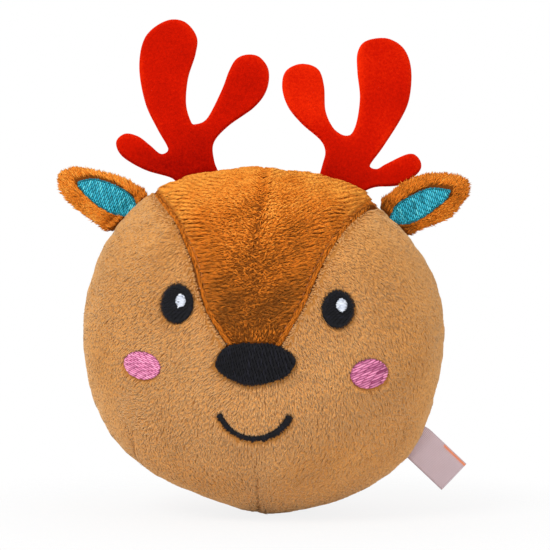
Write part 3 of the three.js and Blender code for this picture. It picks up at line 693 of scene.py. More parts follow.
def to_frame(points):
    """From millimetres about the ball's centre to metres in the frame, never below the floor"""
    raised = points + np.array([0, 0, CENTRE_HEIGHT])
    raised[:, 2] = np.maximum(raised[:, 2], 0)
    return raised / 1000


def linked(name, data):
    """An object of the scene with a mesh, camera or lamp"""
    made = bpy.data.objects.new(name, data)
    bpy.context.scene.collection.objects.link(made)
    return made


def modified_mesh(made):
    """A new mesh with what an object's modifiers make of its own"""
    graph = bpy.context.evaluated_depsgraph_get()
    return bpy.data.meshes.new_from_object(made.evaluated_get(graph))


def vertex_vectors(mesh, name):
    values = np.zeros(3 * len(mesh.vertices), np.float32)
    mesh.vertices.foreach_get(name, values)
    return values.reshape(-1, 3)


def add_values(mesh, name, values):
    """A number for each point of a mesh, for its material"""
    attribute = mesh.attributes.new(name, "FLOAT", "POINT")
    attribute.data.foreach_set("value", values.astype(np.float32))


def new_piece(name, points, triangles, material, tones=None, cells=None):
    mesh = bpy.data.meshes.new(name)
    mesh.vertices.add(len(points))
    mesh.vertices.foreach_set("co", to_frame(points).astype(np.float32).ravel())
    mesh.loops.add(3 * len(triangles))
    mesh.loops.foreach_set("vertex_index", triangles.astype(np.int32).ravel())
    mesh.polygons.add(len(triangles))
    mesh.polygons.foreach_set("loop_start", np.arange(0, 3 * len(triangles), 3, dtype=np.int32))
    mesh.update(calc_edges=True)
    mesh.polygons.foreach_set("use_smooth", np.ones(len(triangles), bool))
    if tones is not None:
        add_values(mesh, "tone", tones)
    if cells is not None:
        layer = mesh.uv_layers.new(name="OFBake")
        layer.uv.foreach_set("vector", cells.astype(np.float32).ravel())
    mesh.materials.append(material)
    return linked(name, mesh)


def joined(meshes):
    """Several meshes, each with points, triangles and tones, as one"""
    starts = np.cumsum([0] + [len(points) for points, _, _ in meshes[:-1]])
    points = np.vstack([mesh[0] for mesh in meshes])
    triangles = np.vstack([mesh[1] + start for mesh, start in zip(meshes, starts)])
    return points, triangles, np.concatenate([mesh[2] for mesh in meshes])


# Tufts of pile

def tuft_cells(count):
    """For each tuft its own cell of the bake's map, with its sides laid out side by side"""
    columns = math.ceil(math.sqrt(count))
    number = np.arange(count)
    corner = stacked(number % columns, number // columns)
    side = np.arange(TUFT_SIDES)
    low, high = side / TUFT_SIDES, (side + 1) / TUFT_SIDES
    foot, waist, tip = [np.full(TUFT_SIDES, v) for v in (CELL_FOOT, CELL_WAIST, CELL_TIP)]
    faces = (
        ((low, foot), (high, foot), (high, waist)),
        ((low, foot), (high, waist), (low, waist)),
        ((low, waist), (high, waist), ((low + high) / 2, tip)),
    )
    layout = [stacked(*[stacked(u, v) for u, v in face]) for face in faces]
    underside = np.array([[(0, 0), (1, 0), (0.5, 0.1)]])
    layout = np.concatenate([underside, *layout]) * (1 - 2 * CELL_MARGIN) + CELL_MARGIN
    return (corner[:, None, None] + layout[None]) / columns


def tuft_triangles(count):
    side = np.arange(TUFT_SIDES)
    following = (side + 1) % TUFT_SIDES
    foot, waist = side, side + TUFT_SIDES
    next_foot, next_waist = following, following + TUFT_SIDES
    tip = np.full(TUFT_SIDES, 2 * TUFT_SIDES)
    one = np.vstack([
        [(0, 2, 1)],
        stacked(foot, next_foot, next_waist),
        stacked(foot, next_waist, waist),
        stacked(waist, next_waist, tip),
    ])
    return (np.arange(count) * (2 * TUFT_SIDES + 1))[:, None, None] + one


def tufts(spots, normals, leans, length, width, rise, tone, random):
    """Closed tapered tufts that lean over from their spots: points, triangles and tones"""
    count = len(spots)
    leans = unit(leans - (leans * normals).sum(axis=1, keepdims=True) * normals)
    sides = np.cross(leans, normals)
    sway = random.normal(0, 0.12, count) * length
    turns = math.pi / 2 + 2 * math.pi * np.arange(TUFT_SIDES) / TUFT_SIDES
    rings = []
    for share, height, girth, bent in TUFT_RINGS:
        middle = spots + leans * (share * length)[:, None] + sides * (bent * sway)[:, None]
        middle = middle + normals * (height * rise)[:, None]
        for turn in turns:
            across = sides * (0.5 * width * girth * math.cos(turn))[:, None]
            up = normals * (0.34 * width * girth * math.sin(turn))[:, None]
            rings.append(middle + across + up)
    tips = spots + leans * length[:, None] + sides * sway[:, None]
    tips = tips + normals * (0.95 * rise)[:, None]
    points = stacked(*rings, tips).reshape(-1, 3)
    # painted shade at each tuft's foot, where the pile shades itself, and painted light at its tip
    painted_foot_shade_tip_light = np.array([-0.16] * TUFT_SIDES + [0.0] * TUFT_SIDES + [0.1])
    tones = (tone[:, None] + painted_foot_shade_tip_light[None]).ravel()
    return points, tuft_triangles(count).reshape(-1, 3), tones


# Stitches

def rows_across(outline, degrees, pitch):
    """The lines at an angle, a pitch apart, that lie inside an outline"""
    turn = math.radians(degrees)
    along = np.array([math.cos(turn), math.sin(turn)])
    across = np.array([-along[1], along[0]])
    place, height = outline @ along, outline @ across
    next_place, next_height = np.roll(place, -1), np.roll(height, -1)
    rows = []
    for number, level in enumerate(np.arange(height.min() + pitch / 2, height.max(), pitch)):
        hit = (height > level) != (next_height > level)
        share = (level - height[hit]) / (next_height[hit] - height[hit])
        ends = np.sort(place[hit] + share * (next_place[hit] - place[hit]))
        for start, end in ends.reshape(-1, 2):
            rows.append((number, level, start, end))
    return rows, along, across


def filled(outline, degrees, pitch, stitch, ragged, random):
    """Stitches in rows over an outline, broken like bricks, as the two ends of each"""
    rows, along, across = rows_across(outline, degrees, pitch)
    stitches = []
    for number, level, start, end in rows:
        start -= ragged * random.random()
        end += ragged * random.random()
        first = start + stitch * ((number * 0.38) % 1 + random.uniform(-0.06, 0.06))
        breaks = [at for at in np.arange(first, end, stitch) if start + 0.5 < at < end - 0.5]
        marks = [start, *breaks, end]
        for near, far in zip(marks[:-1], marks[1:]):
            stitches.append((near * along + level * across, far * along + level * across))
    return np.array(stitches)


def across_edge(path, pitch, inward, outward, random, ragged=0.7):
    """Stitches side by side along a path, each across it, from inward of it to outward"""
    runs = np.diff(path, axis=0)
    lengths = np.linalg.norm(runs, axis=1)
    reached = np.concatenate([[0], np.cumsum(lengths)])
    at = np.arange(pitch / 2, reached[-1], pitch)
    number = np.clip(np.searchsorted(reached, at) - 1, 0, len(runs) - 1)
    middle = path[number] + runs[number] * ((at - reached[number]) / lengths[number])[:, None]
    ways = unit(runs[number])
    out = stacked(ways[:, 1], -ways[:, 0])
    near = inward * random.uniform(0.85, 1.15, len(at))
    far = outward * random.uniform(1 - ragged, 1 + ragged, len(at))
    return stacked(middle - out * near[:, None], middle + out * far[:, None])


def stitch_threads(stitches, place, radius, lift, arch, random, darker=0.0):
    """A thread over each stitch that dips into the cloth at its ends: points, triangles, tones"""
    stations, sides = THREAD_STATIONS, THREAD_SIDES
    shares = np.linspace(0, 1, stations)
    runs = stitches[:, 1] - stitches[:, 0]
    pairs = stitches[:, 0, None] + shares[None, :, None] * runs[:, None]
    points, normals = place(pairs.reshape(-1, 2))
    points = points.reshape(-1, stations, 3)
    normals = normals.reshape(-1, stations, 3)
    forward = unit(np.gradient(points, axis=1))
    side = unit(np.cross(normals, forward))
    up = np.cross(forward, side)
    bow = np.sin(math.pi * shares) ** 0.6
    height = lift + arch * bow + random.uniform(-0.04, 0.04, len(stitches))[:, None]
    girth = radius * (0.55 + 0.45 * bow)
    rings = []
    for corner in range(sides):
        turn = 2 * math.pi * corner / sides
        around = side * math.cos(turn) + up * math.sin(turn)
        rings.append(points + normals * height[:, :, None] + around * girth[None, :, None])
    points = np.stack(rings, axis=2).reshape(-1, 3)
    corner = np.arange(sides)
    following = (corner + 1) % sides
    one = []
    for station in range(stations - 1):
        near, far = station * sides, (station + 1) * sides
        one.append(stacked(near + corner, near + following, far + following))
        one.append(stacked(near + corner, far + following, far + corner))
    last = (stations - 1) * sides
    fan = np.arange(1, sides - 1)
    one.append(stacked(np.zeros_like(fan), fan + 1, fan))
    one.append(stacked(np.full_like(fan, last), last + fan, last + fan + 1))
    one = np.vstack(one)[:, ::-1]
    starts = np.arange(len(stitches)) * stations * sides
    triangles = (starts[:, None, None] + one).reshape(-1, 3)
    # each thread's tone varies at random, with painted shade towards its ends where it dips into
    # the cloth
    tone = random.normal(0.5, 0.14, len(stitches))[:, None] + 0.12 * (bow - 1)[None]
    return points, triangles, np.repeat(tone.ravel(), sides) - darker


def backing(outline, place, low, high, darker=0.0, spacing=0.8):
    """A thin domed pad under the stitches, darker than them, as painted shade in the gaps between
    them
    """
    pairs, triangles, inside, _ = flat_grid(outline, spacing)
    points, normals = place(pairs)
    top = low + (high - low) * smooth_step(-0.3, 1.2, inside)
    outer = points + normals * top[:, None]
    inner = points + normals * (low - 0.2)
    triangles = turned_to(normals[len(normals) // 2], outer, triangles)
    points, triangles = closed_shell(outer, inner, triangles)
    return points, triangles, np.full(len(points), 0.25 - darker)


# Materials

def linear(colour):
    """A colour from 0 to 255, as screens have it, in the scene's own linear values"""
    values = np.array(colour) / 255
    low = values / 12.92
    high = ((values + 0.055) / 1.055) ** 2.4
    return (*np.where(values <= 0.04045, low, high), 1)


def feed(tree, node, inputs):
    """Sets each input of a node to a value, or links it to another node's output"""
    for name, value in inputs.items():
        if isinstance(value, bpy.types.NodeSocket):
            tree.links.new(value, node.inputs[name])
        else:
            node.inputs[name].default_value = value


def add_node(tree, kind, inputs=None, **settings):
    node = tree.nodes.new(kind)
    for name, value in settings.items():
        setattr(node, name, value)
    feed(tree, node, inputs or {})
    return node


def new_material(name, roughness, specular, sheen=0.0, sheen_roughness=0.5):
    material = bpy.data.materials.new(name)
    material.use_nodes = True
    shader = material.node_tree.nodes["Principled BSDF"]
    feed(material.node_tree, shader, {
        "Roughness": roughness,
        "Specular IOR Level": specular,
        "Sheen Weight": sheen,
        "Sheen Roughness": sheen_roughness,
    })
    return material, material.node_tree, shader


def noise(tree, per_metre, detail, roughness=0.55, stretch=(1, 1, 1)):
    """A noise in the object's own coordinates, with so many swells to a metre"""
    place = add_node(tree, "ShaderNodeTexCoord").outputs["Object"]
    mapping = add_node(tree, "ShaderNodeMapping", {"Vector": place, "Scale": stretch})
    inputs = {
        "Vector": mapping.outputs["Vector"],
        "Scale": per_metre,
        "Detail": detail,
        "Roughness": roughness,
    }
    return add_node(tree, "ShaderNodeTexNoise", inputs).outputs["Fac"]


def ramp(tree, source, colours, places=None):
    node = add_node(tree, "ShaderNodeValToRGB", {"Fac": source})
    places = places or [i / (len(colours) - 1) for i in range(len(colours))]
    elements = node.color_ramp.elements
    while len(elements) < len(colours):
        elements.new(1)
    for element, place, colour in zip(elements, places, colours):
        element.position = place
        element.color = linear(colour)
    return node.outputs["Color"]


def math_node(tree, operation, *values):
    inputs = dict(enumerate(values))
    return add_node(tree, "ShaderNodeMath", inputs, operation=operation).outputs["Value"]


def mesh_value(tree, name):
    return add_node(tree, "ShaderNodeAttribute", attribute_name=name).outputs["Fac"]


def bump(tree, shader, height, distance, strength=1.0):
    inputs = {"Height": height, "Distance": distance, "Strength": strength}
    node = add_node(tree, "ShaderNodeBump", inputs)
    feed(tree, shader, {"Normal": node.outputs["Normal"]})


def toned_colour(tree, shader, colours, grain, amount):
    """Colour from the mesh's own tone, broken up a little by a noise"""
    speckle = math_node(tree, "MULTIPLY_ADD", noise(tree, grain, detail=2), amount, -amount / 2)
    shade = math_node(tree, "ADD", mesh_value(tree, "tone"), speckle)
    feed(tree, shader, {"Base Color": ramp(tree, shade, colours)})


def pile_material(name, colours, glow, sheen):
    """Soft pile: its colour from each tuft's tone, with a warm sheen where it is seen edge on"""
    material, tree, shader = new_material(name, roughness=0.95, specular=0.04, sheen=sheen)
    feed(tree, shader, {"Sheen Tint": linear(glow)})
    toned_colour(tree, shader, colours, grain=420, amount=0.12)
    bump(tree, shader, noise(tree, 2400, detail=2), distance=0.0001, strength=0.5)
    return material


def cloth_material(name, colours):
    """The knitted ground that the pile stands on"""
    material, tree, shader = new_material(name, roughness=0.95, specular=0.04)
    toned_colour(tree, shader, colours, grain=900, amount=0.25)
    knit = noise(tree, 900, detail=3, roughness=0.6, stretch=(1, 1, 1.6))
    bump(tree, shader, knit, distance=0.0004)
    return material


def thread_material(name, colours, roughness=0.42, specular=0.35):
    material, tree, shader = new_material(name, roughness, specular, sheen_roughness=0.3)
    toned_colour(tree, shader, colours, grain=900, amount=0.2)
    bump(tree, shader, noise(tree, 2600, detail=2), distance=0.00012, strength=0.6)
    return material


def felt_material():
    """Short dense felt: fine mottling, painted light along the rounded edges from each point's
    tone, and a little sheen
    """
    material, tree, shader = new_material(
        "red_felt", roughness=0.95, specular=0.03, sheen=0.12, sheen_roughness=0.4
    )
    feed(tree, shader, {"Sheen Tint": linear((255, 60, 20))})
    toned_colour(tree, shader, RED, grain=1000, amount=0.6)
    fluff = noise(tree, 1700, detail=4, roughness=0.7)
    bump(tree, shader, fluff, distance=0.00025, strength=0.7)
    return material


def satin_material():
    """Woven satin ribbon: fine ribs across it, painted lighter on their crests and darker in their
    hollows, and an orange line along one edge
    """
    material, tree, shader = new_material(
        "satin", roughness=0.38, specular=0.45, sheen=0.15, sheen_roughness=0.3
    )
    # the ribs' height gives both the bump and painted light and shade in the colour
    wave = math_node(tree, "SINE", mesh_value(tree, "rib"))
    height = math_node(tree, "MULTIPLY_ADD", wave, 0.35, 0.5)
    cloudy = math_node(tree, "MULTIPLY", noise(tree, 120, detail=3), 0.4)
    shade = math_node(tree, "ADD", height, cloudy)
    inputs = {
        "Factor": mesh_value(tree, "stripe"),
        "A": ramp(tree, shade, SATIN, (0.2, 0.7, 1.1 / 1.2)),
        "B": linear(STRIPE),
    }
    mix = add_node(tree, "ShaderNodeMix", inputs, data_type="RGBA")
    feed(tree, shader, {"Base Color": mix.outputs["Result"]})
    bump(tree, shader, height, distance=0.00008, strength=0.5)
    return material


def fibre_material():
    material, tree, shader = new_material("fibre", roughness=0.9, specular=0.1, sheen=0.2)
    height = noise(tree, 260, detail=6, roughness=0.7)
    feed(tree, shader, {"Base Color": ramp(tree, height, FIBRE)})
    bump(tree, shader, height, distance=0.001)
    return material


def plastic_material():
    material, tree, shader = new_material("squeaker_plastic", roughness=0.35, specular=0.5)
    shade = noise(tree, 90, detail=2)
    feed(tree, shader, {"Base Color": ramp(tree, shade, PLASTIC)})
    bump(tree, shader, noise(tree, 700, detail=2), distance=0.0001, strength=0.3)
    return material


TAN_PILE = pile_material("tan_pile", TAN, glow=(255, 220, 175), sheen=0.85)
BROWN_PILE = pile_material("brown_pile", BROWN, glow=(255, 170, 80), sheen=0.4)
EAR_PILE = pile_material("ear_pile", EAR_BROWN, glow=(255, 180, 90), sheen=0.4)
TAN_CLOTH = cloth_material("tan_cloth", (SEAM_SHADE, *TAN[:2]))
BROWN_CLOTH = cloth_material("brown_cloth", (SEAM_SHADE, *BROWN[:2]))
TEAL_THREADS = thread_material("teal_thread", TEAL)
PINK_THREADS = thread_material("pink_thread", PINK)
NIGHT_THREADS = thread_material("black_thread", NIGHT, roughness=0.6, specular=0.2)
WHITE_THREADS = thread_material("white_thread", WHITE)
BROWN_THREADS = thread_material("brown_thread", BROWN_THREAD)
FELT = felt_material()
SATIN_WEAVE = satin_material()
FIBRES = fibre_material()
SQUEAKER_PLASTIC = plastic_material()


# The ball's panels

def rolled_edge(distance, width, depth):
    """How far cloth curls in towards a seam: depth at the seam, nothing a width away"""
    share = np.clip(1 - np.abs(distance) / width, 0, 1)
    return depth * (1 - np.sqrt(1 - share**2))


def near_seats(points, outer, inner):
    """Each seat, with how near points are to its base: none so many degrees out, full further in"""
    degrees = rim_degrees(points)
    for seat in SEATS.values():
        middle, half = sum(seat.ends) / 2, abs(seat.ends[0] - seat.ends[1]) / 2
        yield seat, smooth_step(half + outer, half + inner, np.abs(degrees - middle))


def seam_gap(points):
    """Half the gap between front and back at the rim, wider where something is sewn in"""
    gap = np.full(len(points), CLEARANCE / 2)
    for seat, within in near_seats(points, 1.5, -0.5):
        gap = np.maximum(gap, within * min(seat.thickness / 2, 1.5) * 0.85)
    return gap


def crease(pairs, path, width, depth):
    """A fold along a path that fades out at its ends"""
    knots = spline_through(path, 6)
    gap, _ = nearest_on(pairs, knots)
    low, high = knots[:, 1].min(), knots[:, 1].max()
    fade = smooth_step(low - 1, low + 8, pairs[:, 1]) if low > -HEIGHT_BELOW else 1
    if high < HEIGHT_ABOVE:
        fade = fade * smooth_step(high + 1, high - 8, pairs[:, 1])
    return depth * bell(gap, width) * fade


def at_seats(points):
    """Near one the points where something is sewn into the rim"""
    return np.max([within for _, within in near_seats(points, 3, 0)], axis=0)


def rim_roll(points, from_seam):
    return rolled_edge(from_seam, width=4, depth=2.4) * (1 - 0.65 * at_seats(points))


def painted_groove_shade(pairs):
    """Painted shade: near one in the seam, the topstitching and the creases of the face, where
    shade falls in them
    """
    forehead, _ = edge_distance(pairs, FOREHEAD_OUTLINE)
    painted_shade = np.maximum(bell(forehead, 0.6), 0.5 * bell(forehead - TOPSTITCH_INSET, 0.45))
    for path, line_shade, _, _ in CREASES:
        painted_shade = np.maximum(painted_shade, crease(pairs, path, 0.8, line_shade))
    return painted_shade


def seam_puckers(points, from_seam):
    """Small gathers that run away from the rim seam"""
    turn = np.radians(rim_degrees(points))
    wave = np.sin(turn * RIM_GATHERS + 2.2 * rolling(points, 30, 11))
    return 0.28 * wave * np.exp(-np.abs(from_seam) / 7)


def held_points(points):
    """The points of the skin that lie on the rim's, the forehead's and the back's seams"""
    half_cell = 0.25 * math.pi * HALF_WIDTH / SKIN_CELLS
    forehead, _ = edge_distance(points[:, [0, 2]], FOREHEAD_OUTLINE)
    front = points[:, 1] < 0
    held = np.abs(points[:, 1] - RIM_SEAM_Y) < 1.1 * half_cell
    held |= front & (np.abs(forehead) < 0.8 * half_cell)
    held |= ~front & (np.abs(points[:, 0]) < 0.8 * half_cell)
    return held


def simulated(points, triangles, held):
    """The places of the skin's points once its cloth has been blown up"""
    mesh = bpy.data.meshes.new("skin")
    mesh.from_pydata((points / 1000).tolist(), [], triangles.tolist())
    skin = linked("skin", mesh)
    group = skin.vertex_groups.new(name="seams")
    group.add(np.flatnonzero(held).tolist(), 1, "REPLACE")
    cloth = skin.modifiers.new("cloth", "CLOTH")
    cloth.settings.vertex_group_mass = "seams"
    cloth.settings.use_pressure = True
    cloth.settings.uniform_pressure_force = SKIN_PRESSURE
    cloth.settings.effector_weights.gravity = 0
    cloth.settings.shrink_min = -SPARE_CLOTH
    cloth.point_cache.frame_start = 1
    cloth.point_cache.frame_end = SKIN_FRAMES
    for frame_number in range(1, SKIN_FRAMES + 1):
        bpy.context.scene.frame_set(frame_number)
    blown = modified_mesh(skin)
    places = vertex_vectors(blown, "co")
    bpy.data.objects.remove(skin)
    bpy.data.meshes.remove(blown)
    bpy.context.scene.frame_set(1)
    return places * 1000


def blown_up_skin():
    """Cloth over the ball, held at its seams and blown up: how far it stands out all round"""
    directions, triangles, index = ball_grid(SKIN_CELLS)
    points = on_ball(directions)
    places = simulated(points, triangles, held_points(points))
    swell = ((places - points) * directions).sum(axis=1)
    swell = np.clip(swell, -MOST_SWELL, MOST_SWELL)
    start, end = edges_of(triangles).T
    around = np.bincount(start, swell[end], len(swell)) / np.bincount(start, minlength=len(swell))
    return ((swell + around) / 2)[index].reshape(6, SKIN_CELLS + 1, SKIN_CELLS + 1)


def skin_swell(directions):
    """How far the blown up cloth stands out, between the points of its mesh too"""
    axis = np.abs(directions).argmax(axis=1)
    ahead, aside, up = [
        np.take_along_axis(directions, ((axis + turn) % 3)[:, None], 1)[:, 0] for turn in (0, 1, 2)
    ]
    side = 2 * axis + (ahead < 0)
    across = (np.arctan(aside / ahead) / (math.pi / 4) + 1) / 2 * SKIN_CELLS
    upward = (np.arctan(up / np.abs(ahead)) / (math.pi / 4) + 1) / 2 * SKIN_CELLS
    column = np.clip(across.astype(int), 0, SKIN_CELLS - 1)
    row = np.clip(upward.astype(int), 0, SKIN_CELLS - 1)
    across, upward = across - column, upward - row
    low = SKIN[side, column, row] * (1 - across) + SKIN[side, column + 1, row] * across
    high = SKIN[side, column, row + 1] * (1 - across) + SKIN[side, column + 1, row + 1] * across
    return low * (1 - upward) + high * upward


SKIN = blown_up_skin()


def lumps(points):
    """The ball's slow swells and hollows, of stuffing and slack cloth"""
    inner = smooth_step(0.25, 0.75, np.abs(points[:, 1]) / HALF_DEPTH)
    raised = (0.1 + 0.3 * inner) * rolling(points, 26, 21) + 0.1 * rolling(points, 9, 22)
    directions = unit(points)
    raised += SWELL_SHARE * (skin_swell(directions) - USUAL_SWELL)
    return add_mounds(raised, directions, SLACK)


def forehead_crests(points):
    """Long level ridges in the forehead's pile: one on their crests, -1 between them"""
    wander = 0.45 * rolling(points, 11, 51) + 0.12 * rolling(points, 4, 52)
    right = smooth_step(-3, 5, points[:, 0])
    level = points[:, 2] + points[:, 0] * (0.04 - 0.27 * right)
    return np.cos(2 * math.pi * (level + wander) / RIDGE_PERIOD)


def forehead_ridged(points, forehead):
    """How far the forehead's pile lies in ridges: near its seams, less in the tousled middle"""
    from_seam = smooth_step(15, 9, forehead) * smooth_step(2.3, 4, forehead)
    return from_seam * smooth_step(3, 16, points[:, 2]) * smooth_step(66, 58, points[:, 2])


def front_relief(points):
    """How far the front stands out from the plain ball, in millimetres"""
    pairs = points[:, [0, 2]]
    from_rim = RIM_SEAM_Y - points[:, 1]
    facing = smooth_step(3, -15, points[:, 1])
    forehead, _ = edge_distance(pairs, FOREHEAD_OUTLINE)
    raised = lumps(points) - rim_roll(points, from_rim) + seam_puckers(points, from_rim)
    # the forehead's seam, its topstitching and the soft roll between them
    raised -= 1.3 * bell(forehead, 0.7) * facing
    raised -= 0.5 * bell(forehead - TOPSTITCH_INSET, 0.5) * facing
    raised += 0.35 * bell(forehead - TOPSTITCH_INSET / 2, 0.9) * facing
    raised += 0.5 * smooth_step(2, 9, forehead)
    raised += 0.2 * forehead_crests(points) * forehead_ridged(points, forehead)
    for path, _, line, fold in CREASES:
        raised -= (crease(pairs, path, *line) + crease(pairs, path, *fold)) * facing
    # the dimples of the embroidery
    return raised - 0.45 * smooth_step(-1.2, 0, embroidered(pairs))


def back_relief(points):
    """The same for the back, with gathers along its own seam"""
    from_rim = points[:, 1] - RIM_SEAM_Y
    raised = lumps(points) - rim_roll(points, from_rim) + seam_puckers(points, from_rim)
    raised -= rolled_edge(points[:, 0], width=3.2, depth=1.9)
    wave = np.sin(points[:, 2] * 0.9 + 1.5 * rolling(points, 30, 12))
    return raised + 0.22 * wave * np.exp(-np.abs(points[:, 0]) / 6)


def on_relief(directions, relief):
    """Points of the panels' outer side, under the pile's tips"""
    spots = on_ball(directions)
    return on_ball(directions, relief(spots) - PILE_DEPTH)


def close_work(points):
    """Where the cloth needs a finer mesh: at its seams, creases and embroidery"""
    pairs = points[:, [0, 2]]
    front = points[:, 1] <= 0
    forehead, _ = edge_distance(pairs, FOREHEAD_OUTLINE)
    near = (np.abs(forehead) < 4) | (np.abs(embroidered(pairs)) < 1.5)
    for path, *_ in CREASES:
        near |= nearest_on(pairs, np.array(path, float))[0] < 2.5
    at_back_seam = np.abs(points[:, 0]) < 3.5
    return np.where(front, near, at_back_seam) | (np.abs(points[:, 1] - RIM_SEAM_Y) < 5)


def cut_panels():
    directions, triangles, _ = ball_grid(GRID_CELLS)
    directions, triangles = halved(directions, triangles, close_work(on_ball(directions)))
    directions = unit(directions)
    spots = on_ball(directions)
    gap = seam_gap(spots)
    front, front_triangles = kept_side(directions, triangles, RIM_SEAM_Y - gap - spots[:, 1])
    back, back_triangles = kept_side(directions, triangles, spots[:, 1] - RIM_SEAM_Y - gap)
    front, back = unit(front), unit(back)
    forehead, _ = edge_distance(on_ball(front)[:, [0, 2]], FOREHEAD_OUTLINE)
    sideways = on_ball(back)[:, 0]
    half_gap = CLEARANCE / 2
    cuts = {
        "face_panel": (front, front_triangles, -half_gap - forehead, front_relief),
        "forehead_panel": (front, front_triangles, forehead - half_gap, front_relief),
        "back_panel_left": (back, back_triangles, -half_gap - sideways, back_relief),
        "back_panel_right": (back, back_triangles, sideways - half_gap, back_relief),
    }
    panels = {}
    for name, (points, faces, field, relief) in cuts.items():
        kept, kept_triangles = kept_side(points, faces, field)
        panels[name] = on_relief(unit(kept), relief), kept_triangles
    return panels


def panel_piece(name, points, triangles, material):
    inward = unit(points) * (FABRIC_THICKNESS - PILE_DEPTH)
    shell, faces = closed_shell(points, points - inward, triangles)
    # painted shade along the back's seam, in the face's seams and creases, and all along the rim
    # seam
    if name.startswith("back"):
        shade = bell(points[:, 0], 0.6)
    else:
        shade = painted_groove_shade(points[:, [0, 2]])
    tone = 0.6 - 0.6 * np.maximum(shade, bell(points[:, 1] - RIM_SEAM_Y, 1))
    piece = new_piece(name + "_cloth", shell, faces, material, np.tile(tone, 2))
    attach(piece, "ball")
    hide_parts(name)


def nap_on_face(points, random):
    """The way the face's pile lies: out and down, steeper on the right, in again at the bottom"""
    x, z = points[:, 0], points[:, 2]
    right = smooth_step(-10, 6, x)
    inner = smooth_step(62, 22, np.abs(x))
    # degrees below level on the left, steeper downwards and at the rim, with a swirl by the cheek
    left_slope = 27 + 15 * inner + 30 * smooth_step(-5, -35, z) + 35 * smooth_step(-34, -60, z)
    left_slope += 42 * smooth_step(10, -8, z) * smooth_step(-48, -60, x)
    left_slope -= 60 * bell(x + 52, 9) * bell(z + 27, 8)
    # and on the right
    right_slope = 40 + 8 * inner + 18 * smooth_step(24, 4, z) + 10 * smooth_step(-5, -30, z)
    right_slope += 50 * smooth_step(-28, -50, z)
    right_slope += 28 * smooth_step(52, 66, x) * smooth_step(2, -16, z)
    degrees = left_slope + (right_slope - left_slope) * right
    degrees += 7 * rolling(points, 17, 31) + random.normal(0, 7, len(points))
    slope = np.radians(degrees)
    side = np.tanh((x + 2) / 9)
    level = np.cos(slope) * side
    return stacked(level, np.zeros(len(points)), -np.sin(slope) - 0.3 * (1 - np.abs(side)))


def from_crease(points):
    """How far right of the middle crease points of the forehead lie"""
    x, z = np.array(TOP_CREASE[::-1]).T
    return points[:, 0] - np.interp(points[:, 2], z, x)


def nap_on_forehead(points, ridged, random):
    """Across from the middle crease to both edges, tousled in the middle, upright by the nose"""
    middle = from_crease(points)
    parting = 1.2 + 9 * smooth_step(40, 26, points[:, 2])
    rightward = random.random(len(points)) < (1 + np.tanh((middle + 0.5) / parting)) / 2
    side = np.where(rightward, 1, -1)
    degrees = 2 + 13 * smooth_step(-2, 4, middle) + 8 * (1 - ridged) * rolling(points, 12, 32)
    tousled = 5 + 30 * (1 - ridged) * bell(middle + 4, 14) * smooth_step(66, 58, points[:, 2])
    degrees += random.normal(0, 1, len(points)) * tousled
    degrees += 80 * smooth_step(9, 4, points[:, 2]) * bell(middle, 11)
    slope = np.radians(degrees)
    return stacked(side * np.cos(slope), np.zeros(len(points)), np.sin(slope))


def with_flat(leans, way, share):
    """Leans turned by a share towards a way given in x and z"""
    toward = stacked(way[:, 0], np.zeros(len(way)), way[:, 1])
    return leans * (1 - share)[:, None] + toward * share[:, None]


def picked(shown, *arrays):
    return [values[shown] for values in arrays]


def clear_of_stitches(spots, leans, normals, length, stitched):
    """Tuft lengths that stop at the edge of the embroidery they lean towards"""
    flat = unit(leans - (leans * normals).sum(axis=1, keepdims=True) * normals)
    tips = spots + flat * length[:, None]
    over = embroidered(tips[:, [0, 2]]) > -0.1
    return np.where(over, np.clip(-stitched + 0.3, 0.7, length), length)


def face_pile(points, triangles):
    random = np.random.default_rng(101)
    spots, normals = scatter(points, triangles, FACE_TUFTS_PER_MM2, random)
    spots = on_relief(unit(spots), front_relief)
    pairs = spots[:, [0, 2]]
    stitched = embroidered(pairs)
    forehead, _ = edge_distance(pairs, FOREHEAD_OUTLINE)
    shown = (stitched < -0.2) & (forehead < -0.3)
    spots, normals, pairs, stitched = picked(shown, spots, normals, pairs, stitched)
    count = len(spots)
    forehead, way = edge_distance(pairs, FOREHEAD_OUTLINE)
    leans = with_flat(nap_on_face(spots, random), way, bell(forehead, 1.8))
    leans = leans + random.normal(0, 0.1, (count, 3))
    near_stitches = smooth_step(-1.6, -0.2, stitched)
    crests = streaks(spots, leans, 1.2, 2.2, 47)
    length = random.uniform(2.5, 3.9, count)
    length = np.where(forehead > -4, np.minimum(length, 0.25 - forehead), length)
    length = clear_of_stitches(spots, leans, normals, length, stitched)
    width = random.uniform(0.5, 0.8, count)
    smooth = smooth_step(40, 66, np.hypot(spots[:, 0], spots[:, 2] + 2))
    crests *= 1 - 0.5 * smooth
    rise = random.uniform(0.4, 0.6, count) * (1 - 0.3 * near_stitches) * (1 + 0.25 * crests)
    rise *= 1 - 0.2 * smooth
    # random tone, painted light on the crests of the pile's ridges, and painted shade round the
    # embroidery and in the seam, topstitching and creases
    tone = 0.5 + random.normal(0, 0.035, count) + 0.04 * rolling(spots, 12, 41) + 0.06 * crests
    tone -= 0.08 * near_stitches + 0.45 * painted_groove_shade(pairs)
    return spots, normals, leans, length, width, rise, tone, random


